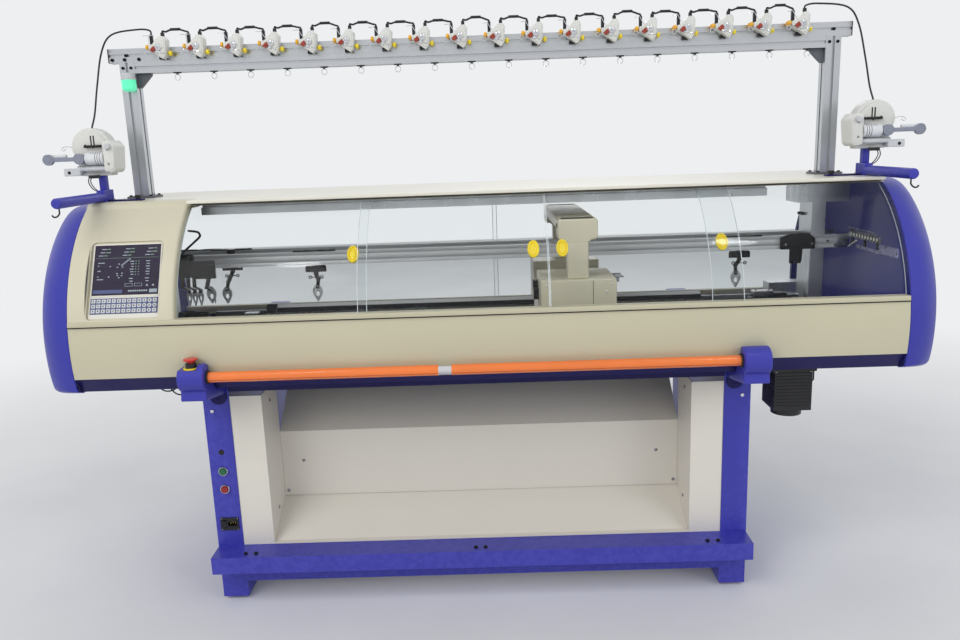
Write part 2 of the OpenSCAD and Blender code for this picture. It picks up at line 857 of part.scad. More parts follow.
// Cables that the machine holds at both ends
module machine_cables() {
    wire = 2.2;
    span = tensioner_pitch - 34;
    arc_r = span / 2 / sin(45);
    y = rail_front - tensioner_d / 2;
    top = unit_z + 66;
    color(dark) {
        for (i = [0 : tensioners - 1]) translate([tensioner_xs[i], y, unit_z]) {
            rod_z([14, 0, 56], 10, 3.2);
            rod_z([-20, 0, 34], 32, 3.2);
            if (i < tensioners - 1) translate([14 + span / 2, 0, 64 - arc_r * cos(45)]) bend(arc_r, wire, 45, 135);
        }
        // From both ends of the rail down to the feeders
        for (s = [-1, 1]) {
            start = s > 0 ? tensioner_xs[tensioners - 1] + 14 : tensioner_xs[0] - 20;
            route = [[start, y, top - 4], [s * (post_x + 20), y, top - 4], [s * (post_x + 70), y, top - 70],
                [s * (feeder_x + 14), feeder_y, feeder_z + dome_r + 1]];
            for (i = [0 : 2]) rod_to(route[i], route[i + 1], wire);
            for (i = [1, 2]) translate(route[i]) sphere(wire * 1.3);
        }
        // Under the head's left end, and from the motor into the head
        for (i = [0, 1]) translate([-930 + 40 * i, -300 - 12 * i, tray_z]) bend(34, wire, 180, 360);
        translate([pulley_x + 61, -belt_y, tray_z - 50]) {
            rod_x([-9, 0, -14], 9, wire);
            bend(14, wire, 270, 360);
            rod_z([14, 0, 0], 50, wire);
        }
    }
}

// Side feeders

bar_z = head_top + seat + bar_r;
bar_front = board_d / 2 + 190;

module feeder_stands() {
    color(blue) both_sides() {
        rod_y([feeder_x, -bar_front, bar_z], bar_len, bar_r);
        translate([feeder_x - 12, -bar_front + bar_len - 1, head_top]) cube([24, 60, 34]);
        translate([feeder_x - 10, -bar_front + bar_len + 20, head_top + 33])
            cube([20, 20, feeder_z - 78 - head_top - 33]);
        translate([feeder_x - 110, -bar_front + bar_len + 16, head_top]) cube([100, 28, 5]);
        rod_z([feeder_x - 95, -bar_front + bar_len + 30, head_top + 4], 12, 9);
    }
}
feeder_y = -bar_front + bar_len + 30;

module feeder_housings() {
    color(grey) both_sides() translate([feeder_x + 14, feeder_y, feeder_z]) {
        along_y(-22, 44) union() {
            circle(dome_r);
            polygon([[-dome_r, 0], [-50, -78], [34, -78], [dome_r, 0]]);
        }
        difference() {
            along_y(-58, 72) polygon([[-78, -60], [-84, 4], [-72, 20], [-46, 20], [-46, -66], [-70, -70]]);
            rod_x([-58, -42, -28], 13, 3 + run_fit);
        }
        rod_x([-46, -34, 6], 60, 4);
        for (x = [24, 112]) rod_y([x, -58, -28], 12, 15.5);
        translate([24, -56, -34]) cube([88, 12, 12]);
        translate([30, -44, -76]) cube([48, 24, 22]);
        rod_x([64, -42, -20], 66, 6);
        rod_x([-46, -36, -56], 84, 8);
        rod_x([112, -50, -28], 18, 4);
        translate([16, -50, -40]) cube([14, 32, 24]);
    }
}

module feed_roller(side) {
    color([0.9, 0.9, 0.88]) mirror([side > 0 ? 0 : 1, 0, 0])
        translate([feeder_x + 14, feeder_y - 42, feeder_z - 28]) {
            rod_x([-45, 0, 0], 52, feed_r);
            rod_x([-56, 0, 0], 12, 3);
        }
}

// Yarn rails and carriers

cross_z = rail_z - 25;
cross_h_carrier = 21;

// A strip 4 thick between two points in y and z, whose middle runs from x0 to x1
module arm_part(a, b, x0, x1, w) {
    v = b - a;
    run = norm(v);
    translate([0, a[0], a[1]]) rotate([atan2(v[1], v[0]), 0, 0]) translate([0, 0, -2]) linear_extrude(4)
        polygon([[x0 - w / 2, -2], [x0 + w / 2, -2], [x1 + w / 2, run + 2], [x1 - w / 2, run + 2]]);
}

// Arm of a carrier from its plate down to its tip, with the plate that holds the yarn's eye.
// lean is how far the arm has gone to the side at 100 below its crosspiece.
module carrier_arm(middle, tip, lean) {
    outer = abs(middle) > rail_y;
    elbow = cross_z - (outer ? 30 : 6);
    joint = cross_z - (outer ? 51 : 31);
    function off(z) = lean * (cross_z - z) / 100;
    arm_part([middle, cross_z + 4], [middle, elbow], off(cross_z), off(elbow), 15);
    arm_part([middle, elbow], [tip, joint], off(elbow), off(joint), 14);
    arm_part([tip, joint], [tip, bed_top + 46], off(joint), off(bed_top + 30), 12);
    translate([off(bed_top + 30), 0, bed_top]) along_y(tip - 1, 2) difference() {
        polygon([[-4, 60], [4, 60], [10, 52], [15.5, 43], [13, 27], [5, 12], [1.5, 7], [-1.5, 7], [-5, 12],
            [-13, 27], [-15.5, 43], [-10, 52]]);
        translate([0, 27]) circle(4.5);
    }
    translate([off(bed_top + 12), tip, bed_top + 5]) cylinder(12, r1 = 1.6, r2 = 2.4);
}

// Both rails. At the front rail's ends are a stop and a block, each with parked carriers under it.
module yarn_rails() {
    hi = rail_z + rail_h;
    stop_d = 15;
    block_x = 43 - column_x;
    color(steel) {
        along_x(2 * rail_end) for (s = [-1, 1]) translate([s * rail_y - rail_t / 2, rail_z])
            square([rail_t, rail_h]);
        along_y(-rail_out - stop_d, stop_d) {
            polygon([[column_x - 100, rail_z], [column_x + 2, rail_z], [column_x + 2, hi - 8], [column_x - 18, hi + 8],
                [column_x - 73, hi + 8], [column_x - 100, hi - 4]]);
            translate([block_x, rail_z - 25]) polygon([[0, 0], [60, 0], [60, -5], [126, -5], [126, rail_h + 9],
                [62, rail_h + 9], [62, rail_h + 33], [0, rail_h + 33]]);
        }
    }
    color(dark) {
        for (x = [-72, -52]) translate([column_x + x, -rail_out - 11, rail_z - 44]) cube([15, 7, 46]);
        for (i = [0 : 2]) translate([block_x + 21 + 18.5 * i, 0, 0]) carrier_arm(-rail_out - 4, -14, -8);
    }
}

// A carrier that rides on one face of a rail; face is where its plate lies and tip where its arm ends.
module yarn_carrier(x, face, tip, side, lean) {
    lip = rail_t / 2 - 2;
    out = side * carrier_t;
    near = min(face, face + out);
    top_w = 132;
    top_z = rail_z + rail_h + seat;
    color(dark) translate([x, 0, 0]) {
        translate([-carrier_w / 2, near, cross_z]) cube([carrier_w, carrier_t, cross_h_carrier]);
        translate([-12, near, cross_z]) cube([24, carrier_t, top_z + 2 - cross_z]);
        translate([0, min(face + out, face - side * lip), top_z]) difference() {
            translate([-top_w / 2, 0, 0]) cube([top_w, lip + carrier_t, 4]);
            translate([-11, -1, 2]) cube([22, lip + carrier_t + 2, 3]);
        }
        carrier_arm(face + out / 2, tip, lean);
    }
}

track_gap = rail_t / 2 + seat;
front_track = -rail_y + track_gap;
module yarn_carrier_1() { yarn_carrier(carrier_x[0], front_track, -5, 1, carrier_lean[0]); }
module yarn_carrier_2() { yarn_carrier(carrier_x[1], rail_y - track_gap, 5, -1, carrier_lean[1]); }
module yarn_carrier_3() { yarn_carrier(carrier_x[2], rail_y + track_gap, 14, 1, carrier_lean[2]); }
module yarn_carrier_4() { yarn_carrier(carrier_x[3], front_track, -5, 1, carrier_lean[3]); }

// Needle beds

bed_dir = [-cos(bed_angle), -sin(bed_angle)];
bed_down = [sin(bed_angle), -cos(bed_angle)];
bed_lip = [-bed_gap / 2, bed_top];
bed_foot = bed_lip + bed_run * bed_dir;
// Height of the bed's underside at a distance in front of the middle
function bed_under(y) = bed_top - bed_t / cos(bed_angle) + (y + bed_gap / 2) * tan(bed_angle);
// Height of the bed's upper face there
function bed_face(y) = bed_top + (y + bed_gap / 2) * tan(bed_angle);

module needle_bed() {
    slots = floor((bed_len - 20) / slot_pitch);
    difference() {
        along_x(bed_len) polygon([bed_lip, bed_foot, bed_foot + bed_t * bed_down,
            [-bed_gap / 2, bed_under(-bed_gap / 2)]]);
        for (i = [0 : slots]) translate([(i - slots / 2) * slot_pitch, bed_lip[0], bed_lip[1]])
            rotate([180 + bed_angle, 0, 0]) translate([-slot_w / 2, -1, -1])
                cube([slot_w, bed_run - 20, slot_depth + 1]);
    }
}

module front_needle_bed() {
    color(steel) translate([bed_x, 0, 0]) needle_bed();
}

module rear_needle_bed() {
    color(steel) translate([bed_x, 0, 0]) mirror([0, 1, 0]) needle_bed();
}

guide_len = 2 * (pulley_x + 88);

// Small things between the beds' ends, on posts that stand on the tray
module bed_end_fittings() {
    foot = tray_z + shell_t;
    translate([-900, 0, foot]) translate([-15, -12, 0]) cube([30, 24, 100]);
    translate([-985, -14, 790]) cube([250, 28, 14]);
    translate([-776, -14, 803]) cube([42, 28, 16]);
    rod_x([-989, 0, 817], 95, 11);
    rod_x([-960, 0, 817], 20, 15);
    translate([885, -12, foot]) cube([30, 24, 110]);
    translate([835, -16, 798]) cube([130, 32, 18]);
    translate([846, -16, 815]) cube([62, 32, 22]);
    translate([908, -16, 815]) cube([42, 32, 14]);
    rod_x([950, 0, 820], 40, 8);
}

// Cast frame that carries both beds, with the carriage's guide rails on it
module bed_frame() {
    z0 = tray_z + shell_t;
    beam = 25;
    rib_t = 16;
    rib_top = guide_top - 40;
    toe = bed_foot + bed_t * bed_down;
    inner = -40;
    color([0.35, 0.37, 0.40]) for (m = [0, 1]) mirror([0, m, 0]) {
        drop = m * seat;
        along_x(guide_len) translate([-guide_y - beam, z0]) square([2 * beam, guide_top - 15 - z0]);
        for (x = [-2 : 2]) translate([bed_x + x * (bed_len / 2 - 40) / 2, 0, 0]) along_x(rib_t) polygon([
            [-guide_y, z0], [inner, z0], [inner, bed_under(inner) - drop], [toe[0], toe[1] - drop],
            [bed_foot[0] - 12, toe[1] - drop], [bed_foot[0] - 24, rib_top], [-guide_y, rib_top]]);
    }
    color(steel) front_and_back() along_x(guide_len) translate([-guide_y - 10, guide_top - 15]) square([20, 15]);
    color(dark) bed_end_fittings();
}

// Carriage

module carriage_bridge() {
    deck = 30;
    brow = 60;
    color(beige) translate([carriage_x, 0, 0]) {
        translate([-bridge_w / 2, -bridge_out, bridge_top - deck]) cube([bridge_w, 2 * bridge_out, deck]);
        front_and_back() {
            translate([-bridge_w / 2, -bridge_out, bridge_top - brow]) cube([bridge_w, bridge_leg, brow]);
            translate([-bridge_leg_w / 2, -bridge_out, cam_top]) cube([bridge_leg_w, bridge_leg, bridge_top - cam_top]);
        }
    }
}

// Front and rear cam boxes over the beds, each with its block on the guide rail
module cam_boxes() {
    lift = 2;
    near = -24;
    far = bed_foot[0] + 22;
    block = guide_top + 0.5;
    front = -bridge_out - 15;
    color(beige) translate([carriage_x, 0, 0]) {
        front_and_back() along_x(cam_w) polygon([[near, bed_face(near) + lift], [near, bed_top + 18],
            [-92, bed_top + 74], [-92, cam_top], [front, cam_top], [front, block + 10], [-guide_y - 30, block],
            [-guide_y + 30, block], [far - 12, block - 8], [far, bed_face(far) + lift]]);
        // Clamp that takes the belt
        translate([-20, -belt_y + pulley_r - 8, tray_z + 20]) difference() {
            cube([40, 24, block + 16 - tray_z - 20]);
            translate([-1, 8 - belt_t / 2 - seat, -1]) cube([42, belt_t + 2 * seat, 30]);
        }
    }
}

// Drive

belt_t = 4;
belt_w = 20;
belt_z = tray_z + 22;

module belt_line(r) {
    for (s = [-1, 1]) translate([s * pulley_x, -belt_y]) circle(r);
    translate([0, -belt_y]) square([2 * pulley_x, 2 * r], center = true);
}

// Closed belt in a level plane with the idler at its left end
module drive_belt() {
    color(dark) translate([0, 0, belt_z]) linear_extrude(belt_w) difference() {
        belt_line(pulley_r + belt_t / 2);
        belt_line(pulley_r - belt_t / 2);
    }
    color(steel) rod_z([-pulley_x, -belt_y, tray_z + shell_t], belt_w + 22, pulley_r - belt_t / 2);
}

module drive_pulley() {
    color(steel) translate([pulley_x, -belt_y, 0]) {
        rod_z([0, 0, belt_z - 3], belt_w + 6, pulley_r - belt_t / 2 - seat);
        rod_z([0, 0, tray_z - 40], belt_z - tray_z + 40, 9);
    }
}

// Drive motor that hangs under the head's right end
module drive_motor() {
    color(dark) difference() {
        union() {
            translate([pulley_x - 60, -belt_y - 60, tray_z - 14]) cube([120, 120, 14]);
            translate([pulley_x - 52, -belt_y - 52, tray_z - 130]) cube([104, 104, 117]);
            rod_z([pulley_x, -belt_y, tray_z - 150], 21, 42);
        }
        rod_z([pulley_x, -belt_y, tray_z - 41], 42, 9 + run_fit);
    }
}

module takedown_roller(side) {
    length = 2 * (leg_inner - 8) - 4;
    color(steel) translate([base_x, side * (roller_r + 1), roller_z]) {
        rod_x([-length / 2, 0, 0], length, roller_r);
        rod_x([-leg_inner, 0, 0], 2 * leg_inner, shaft_r);
    }
}

left_pedestal();
right_pedestal();
front_ledge_beam();
cross_beams();
levelling_feet();
bay_side_panels();
bay_back_panel();
fabric_chute();
control_fittings();
power_switch();
push_button(start_z, "green");  // start_button
push_button(stop_z, "red");  // stop_button
emergency_stop_base();
emergency_stop_button();
bar_brackets();
operating_bar(-1);  // front_operating_bar
operating_bar(1);  // rear_operating_bar
mirror([1, 0, 0]) end_cap();  // left_end_cap
end_cap();  // right_end_cap
head_tray();
lower_covers();
console_housing();
display_screen();
keypad();
cover_tracks();
front_cover_1();
front_cover_2();
front_cover_3();
front_cover_4();
rear_cover_left();
rear_cover_right();
top_board();
inner_frame();
stand_posts();
top_rails();
tensioner_housings();
tensioner_knobs();
yarn_guides();
signal_lamp_base();
signal_lamp_dome();
machine_cables();
feeder_stands();
feeder_housings();
feed_roller(-1);  // left_feed_roller
feed_roller(1);  // right_feed_roller
yarn_rails();
yarn_carrier_1();
yarn_carrier_2();
yarn_carrier_3();
yarn_carrier_4();
front_needle_bed();
rear_needle_bed();
bed_frame();
carriage_bridge();
cam_boxes();
drive_belt();
drive_pulley();
drive_motor();
takedown_roller(-1);  // front_takedown_roller
takedown_roller(1);  // rear_takedown_roller
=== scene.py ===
import bpy
import bmesh
import math
from mathutils import Vector, Matrix

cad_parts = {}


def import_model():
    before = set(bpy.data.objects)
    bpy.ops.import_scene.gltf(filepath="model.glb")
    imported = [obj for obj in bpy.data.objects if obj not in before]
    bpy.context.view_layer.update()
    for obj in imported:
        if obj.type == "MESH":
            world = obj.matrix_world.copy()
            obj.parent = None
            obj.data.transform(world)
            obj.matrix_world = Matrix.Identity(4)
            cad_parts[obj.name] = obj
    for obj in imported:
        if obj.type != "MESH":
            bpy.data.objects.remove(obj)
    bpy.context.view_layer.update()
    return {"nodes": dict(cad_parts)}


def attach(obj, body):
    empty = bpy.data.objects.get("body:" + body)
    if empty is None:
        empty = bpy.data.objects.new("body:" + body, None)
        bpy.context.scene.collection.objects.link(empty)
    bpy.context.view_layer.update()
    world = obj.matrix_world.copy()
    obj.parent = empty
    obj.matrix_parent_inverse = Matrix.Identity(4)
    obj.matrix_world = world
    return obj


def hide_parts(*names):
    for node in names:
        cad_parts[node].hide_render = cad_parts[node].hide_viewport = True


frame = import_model()
nodes = frame["nodes"]

# Main places, in millimetres in the machine's frame
HEAD_HALF = 1124.0
HEAD_Z = 805.0
HEAD_R = 450.0
HEAD_TOP = 1197.0
BASE_X = -38.0
LEG_FRONT = -330.0
LEG_SIDE = 785.0
BAR_Y = 469.0
BAR_Z = 738.0
STOP = (BASE_X - 753.5, -472, 764)
PANEL_X = BASE_X - 747.0
RAIL_FRONT = -30.0
RAIL_Z = 1610.0
RAIL_UNDER = 1566.0
TENSIONER_X = [(i - 8.5) * 110.7 for i in range(18)]
CARRIAGE_X = 264.0
BOX_FACE = 300.0
BED_Z = 845.0
BED_SLOPE = math.radians(40)
FEEDER = (1119.0, -160.0, 1350.0)
LAMP = (-1040.0, -56.5, 1546.0)

def link(name, data):
    o = bpy.data.objects.new(name, data)
    bpy.context.scene.collection.objects.link(o)
    return o

def set_camera():
    """The photograph's viewing angle: turns in degrees, place in metres, lens in pixels of the picture."""
    lens, picture_wide, sensor = 830.05, 960, 36.0
    place = (0.01945, -2.6081, 1.33135)
    yaw, pitch, roll = (math.radians(a) for a in (0.931, -12.147, -2.071))
    right, forward, up = Matrix.Rotation(-pitch, 3, "X") @ Matrix.Rotation(-yaw, 3, "Z")
    c, s = math.cos(roll), math.sin(roll)
    data = bpy.data.cameras.new("camera")
    data.sensor_width = sensor
    data.lens = lens / picture_wide * sensor
    data.clip_end = 60
    cam = link("camera", data)
    axes = Matrix((c * right + s * up, c * up - s * right, -forward))
    cam.matrix_world = Matrix.Translation(place) @ axes.transposed().to_4x4()
    bpy.context.scene.camera = cam

set_camera()

# Materials

def lin(rgb):
    """Linear colour of an sRGB one given from 0 to 255."""
    out = []
    for c in rgb:
        c /= 255
        out.append(c / 12.92 if c <= 0.04045 else ((c + 0.055) / 1.055) ** 2.4)
    return (*out, 1)

def new_material(name):
    m = bpy.data.materials.new(name)
    m.use_nodes = True
    coord = m.node_tree.nodes.new("ShaderNodeTexCoord").outputs["Object"]
    return m, m.node_tree, m.node_tree.nodes["Principled BSDF"], coord

def noise(tree, vector, scale, detail=4):
    n = tree.nodes.new("ShaderNodeTexNoise")
    n.inputs["Scale"].default_value = scale
    n.inputs["Detail"].default_value = detail
    n.inputs["Roughness"].default_value = 0.55
    tree.links.new(vector, n.inputs["Vector"])
    return n.outputs["Fac"]

def ramp(tree, fac, lo, hi, to_lo, to_hi):
    n = tree.nodes.new("ShaderNodeMapRange")
    for key, value in zip(("From Min", "From Max", "To Min", "To Max"), (lo, hi, to_lo, to_hi)):
        n.inputs[key].default_value = value
    tree.links.new(fac, n.inputs["Value"])
    return n.outputs["Result"]

def mix_colour(tree, fac, a, b):
    n = tree.nodes.new("ShaderNodeMix")
    n.data_type = "RGBA"
    tree.links.new(fac, n.inputs["Factor"])
    for key, value in (("A", a), ("B", b)):
        if isinstance(value, tuple):
            n.inputs[key].default_value = value
        else:
            tree.links.new(value, n.inputs[key])
    return n.outputs["Result"]

def math_node(tree, operation, a, b):
    n = tree.nodes.new("ShaderNodeMath")
    n.operation = operation
    tree.links.new(a, n.inputs[0])
    tree.links.new(b, n.inputs[1])
    return n.outputs[0]

def mix_shaders(tree, fac, a, b, goal):
    n = tree.nodes.new("ShaderNodeMixShader")
    for k, source in enumerate((fac, a, b)):
        tree.links.new(source, n.inputs[k])
    tree.links.new(n.outputs[0], goal.inputs["Surface"])

def scaled(colour, factor, plus=0.0):
    return tuple(min(1, c * factor + plus) for c in colour[:3]) + (1,)

def surface(name, rgb, rough, metal, vary, patch, fine, bump, stretch=(1, 1, 1), rough_vary=0.08, coat=0.0,
            dust=0.0, spec=0.5, edge=0.0):
    """Painted, moulded or machined surface. vary is the change of tone over patches, fine the grain with bump
    in tenths of a millimetre, stretch draws both out, dust lies on top faces and edge is wear on edges."""
    m, tree, shader, coord = new_material(name)
    mapping = tree.nodes.new("ShaderNodeMapping")
    mapping.inputs["Scale"].default_value = stretch
    tree.links.new(coord, mapping.inputs["Vector"])
    v = mapping.outputs["Vector"]
    base = lin(rgb)
    tone = ramp(tree, noise(tree, v, patch, 5), 0.3, 0.7, 0, 1)
    colour = mix_colour(tree, tone, scaled(base, 1 - vary), scaled(base, 1 + vary))
    if dust:
        normal = tree.nodes.new("ShaderNodeNewGeometry").outputs["Normal"]
        parts = tree.nodes.new("ShaderNodeSeparateXYZ")
        tree.links.new(normal, parts.inputs[0])
        upward = ramp(tree, parts.outputs["Z"], 0.5, 1.0, 0, dust)
        fac = math_node(tree, "MULTIPLY", upward, noise(tree, v, 14, 5))
        colour = mix_colour(tree, fac, colour, lin((205, 200, 190)))
    if edge:
        sharp = tree.nodes.new("ShaderNodeNewGeometry").outputs["Pointiness"]
        broken = ramp(tree, noise(tree, v, 60, 4), 0.4, 0.6, 0.2, 1)
        fac = math_node(tree, "MULTIPLY", ramp(tree, sharp, 0.52, 0.60, 0, edge), broken)
        colour = mix_colour(tree, fac, colour, scaled(base, 1.6, 0.05))
    tree.links.new(colour, shader.inputs["Base Color"])
    shader.inputs["Metallic"].default_value = metal
    shader.inputs["Coat Weight"].default_value = coat
    shader.inputs["Coat Roughness"].default_value = 0.12
    shader.inputs["Specular IOR Level"].default_value = spec
    smooth, coarse = max(0.02, rough - rough_vary), rough + rough_vary
    gloss = ramp(tree, noise(tree, v, patch * 4, 4), 0.3, 0.7, smooth, coarse)
    tree.links.new(gloss, shader.inputs["Roughness"])
    if bump:
        b = tree.nodes.new("ShaderNodeBump")
        b.inputs["Distance"].default_value = bump * 0.0001
        b.inputs["Strength"].default_value = 0.6
        tree.links.new(noise(tree, v, fine, 3), b.inputs["Height"])
        tree.links.new(b.outputs["Normal"], shader.inputs["Normal"])
    return m

def clear(name, rgb):
    """Clear acrylic that lets lamps reach what is behind it."""
    m, tree, shader, coord = new_material(name)
    shader.inputs["Base Color"].default_value = lin(rgb)
    shader.inputs["Transmission Weight"].default_value = 1.0
    shader.inputs["IOR"].default_value = 1.2
    tree.links.new(ramp(tree, noise(tree, coord, 6, 5), 0.35, 0.75, 0.015, 0.045), shader.inputs["Roughness"])
    path = tree.nodes.new("ShaderNodeLightPath")
    through = math_node(tree, "MAXIMUM", path.outputs["Is Shadow Ray"], path.outputs["Is Diffuse Ray"])
    t = tree.nodes.new("ShaderNodeBsdfTransparent")
    t.inputs["Color"].default_value = (0.94, 0.94, 0.94, 1)
    mix_shaders(tree, through, shader.outputs["BSDF"], t.outputs["BSDF"], tree.nodes["Material Output"])
    return m

def glow(name, rgb, power, rough=0.3):
    m, tree, shader, coord = new_material(name)
    colour = lin(rgb)
    tone = ramp(tree, noise(tree, coord, 40, 3), 0.3, 0.7, 0, 1)
    tree.links.new(mix_colour(tree, tone, scaled(colour, 0.85), colour), shader.inputs["Base Color"])
    shader.inputs["Emission Color"].default_value = colour
    shader.inputs["Emission Strength"].default_value = power
    shader.inputs["Roughness"].default_value = rough
    return m

# Each surface: colour, roughness, metal, vary, patch, fine, bump and what differs from the usual
M = {
    "blue": surface("blue_paint", (54, 55, 160), 0.4, 0, 0.035, 2.2, 380, 4, coat=0.12, spec=0.4, edge=0.25,
                    rough_vary=0.03),
    "cap": surface("blue_moulded", (52, 54, 158), 0.42, 0, 0.05, 1.6, 520, 5, coat=0.08, spec=0.4),
    "navy": surface("navy_paint", (27, 22, 84), 0.45, 0, 0.08, 3, 380, 4, coat=0.04, spec=0.22),
    "beige": surface("beige_paint", (196, 190, 163), 0.36, 0, 0.035, 1.8, 450, 3, coat=0.3, rough_vary=0.03),
    "beige_cast": surface("beige_moulded", (206, 200, 176), 0.4, 0, 0.04, 4, 500, 4, coat=0.15),
    "cream": surface("cream_paint", (222, 217, 206), 0.36, 0, 0.015, 1.2, 260, 4, coat=0.15,
                     rough_vary=0.015),
    "board": surface("cream_board", (226, 222, 208), 0.34, 0, 0.03, 2.5, 420, 3, coat=0.2, dust=0.1,
                     rough_vary=0.02),
    "alu": surface("extruded_aluminium", (196, 199, 202), 0.32, 0.85, 0.05, 5, 160, 3, (0.15, 1, 1)),
    "alu_up": surface("upright_aluminium", (196, 199, 202), 0.32, 0.85, 0.05, 5, 160, 3, (1, 1, 0.12)),
    "steel": surface("machined_steel", (150, 152, 156), 0.26, 0.95, 0.12, 6, 300, 3, (0.06, 1, 1)),
    "bright": surface("ground_steel", (208, 210, 211), 0.34, 0.3, 0.06, 9, 300, 2, (0.06, 1, 1)),
    "spoon": surface("tip_plate", (204, 206, 208), 0.3, 0.45, 0.06, 30, 500, 2),
    "panel": surface("recess_panel", (220, 217, 206), 0.4, 0, 0.03, 8, 600, 2),
    "lilac": surface("lilac_plate", (150, 146, 186), 0.3, 0.6, 0.08, 14, 500, 2),
    "rail": surface("ground_rail", (196, 198, 200), 0.36, 0.25, 0.10, 7, 260, 3, (0.05, 1, 1)),
    "cast": surface("cast_frame", (96, 99, 106), 0.55, 0.2, 0.12, 12, 160, 12),
    "chrome": surface("chrome", (215, 217, 220), 0.09, 1.0, 0.03, 9, 300, 1, rough_vary=0.04),
    "black": surface("black_plastic", (24, 24, 26), 0.42, 0, 0.2, 9, 600, 4),
    "blackened": surface("blackened_steel", (23, 24, 27), 0.46, 0.1, 0.2, 20, 500, 4, spec=0.2),
    "grey": surface("grey_plastic", (196, 198, 200), 0.4, 0, 0.05, 10, 700, 4),
    "white": surface("white_plastic", (214, 214, 208), 0.38, 0, 0.04, 14, 700, 3),
    "steelblue": surface("lever_plastic", (134, 138, 152), 0.4, 0, 0.06, 18, 700, 3),
    "yellow": surface("yellow_plastic", (240, 214, 36), 0.34, 0, 0.05, 20, 700, 3, coat=0.2),
    "amber": surface("amber_plastic", (238, 176, 44), 0.34, 0, 0.06, 30, 700, 3),
    "rust": surface("red_brown_felt", (150, 62, 48), 0.7, 0, 0.14, 60, 1500, 6),
    "red": surface("red_plastic", (206, 40, 28), 0.32, 0, 0.06, 30, 700, 2, coat=0.3),
    "dark_red": surface("red_button", (142, 30, 26), 0.34, 0, 0.06, 30, 700, 2, coat=0.2),
    "green": surface("green_button", (22, 96, 56), 0.34, 0, 0.06, 30, 700, 2, coat=0.3),
    "orange": surface("orange_film", (240, 122, 46), 0.2, 0, 0.07, 10, 90, 10, (0.25, 1, 1), coat=0.5),
    "rubber": surface("black_rubber", (26, 26, 28), 0.6, 0, 0.15, 20, 900, 4),
    "sheath": surface("cable_sheath", (22, 22, 24), 0.45, 0, 0.15, 30, 900, 2),
    "roller": surface("white_roller", (214, 216, 218), 0.45, 0, 0.05, 30, 900, 4),
    "brass": surface("brass", (196, 164, 92), 0.25, 0.95, 0.08, 30, 600, 2),
    "film": surface("keypad_film", (78, 88, 128), 0.45, 0, 0.05, 20, 700, 2),
    "screen": surface("screen_glass", (48, 42, 60), 0.3, 0, 0.15, 6, 200, 0, spec=0.25),
    "readout": glow("screen_readout", (150, 160, 168), 0.10),
    "readout2": glow("screen_readout_green", (118, 146, 122), 0.10),
    "lens": glow("lamp_lens", (96, 226, 176), 0.5, 0.18),
    "clear": clear("clear_acrylic", (250, 252, 252)),
    "clear_edge": surface("polished_acrylic_edge", (216, 224, 226), 0.12, 0, 0.05, 10, 300, 1, coat=0.4),
    # Near black for printed keypad marks and seam lines, and as painted shade in a seam's gap and a hole
    "dark": surface("dark_marks_and_painted_shade", (16, 15, 22), 0.7, 0, 0.2, 30, 600, 2),
    "roller_steel": surface("knurled_roller", (96, 98, 102), 0.5, 0.4, 0.12, 20, 700, 8),
}

# Mesh making, in millimetres

AXES = {"x": ((0, 1, 0), (0, 0, 1), (1, 0, 0)),
        "y": ((0, 0, 1), (1, 0, 0), (0, 1, 0)),
        "z": ((1, 0, 0), (0, 1, 0), (0, 0, 1))}

def band(n, a, b):
    """Quads between ring a and ring b of n points each."""
    return [(a * n + k, a * n + (k + 1) % n, b * n + (k + 1) % n, b * n + k) for k in range(n)]

def lid(n, a):
    """One face over ring a of n points."""
    return tuple(range(a * n, a * n + n))

def circle(n):
    """Cosine and sine of n even steps round."""
    turns = [2 * math.pi * i / n for i in range(n)]
    return [(math.cos(t), math.sin(t)) for t in turns]

def bow(middle, radius, first, last, steps):
    """Points of an arc from the first angle to the last, in degrees."""
    out = []
    for k in range(steps + 1):
        a = math.radians(first + (last - first) * k / steps)
        out.append((middle[0] + radius * math.cos(a), middle[1] + radius * math.sin(a)))
    return out

def spline(p0, p1, p2, p3, t):
    square, cube = 2 * p0 - 5 * p1 + 4 * p2 - p3, 3 * p1 - p0 - 3 * p2 + p3
    return 0.5 * (2 * p1 + (p2 - p0) * t + square * t * t + cube * t ** 3)

def mirrored(half, x=0.0):
    """Closed outline from its right half, about the upright line at x."""
    return [(x + u, w) for u, w in half] + [(x - u, w) for u, w in half[::-1]]

def shift(x, y, z):
    return Matrix.Translation((x, y, z))

def metres(points):
    return [(x * 0.001, y * 0.001, z * 0.001) for x, y, z in points]

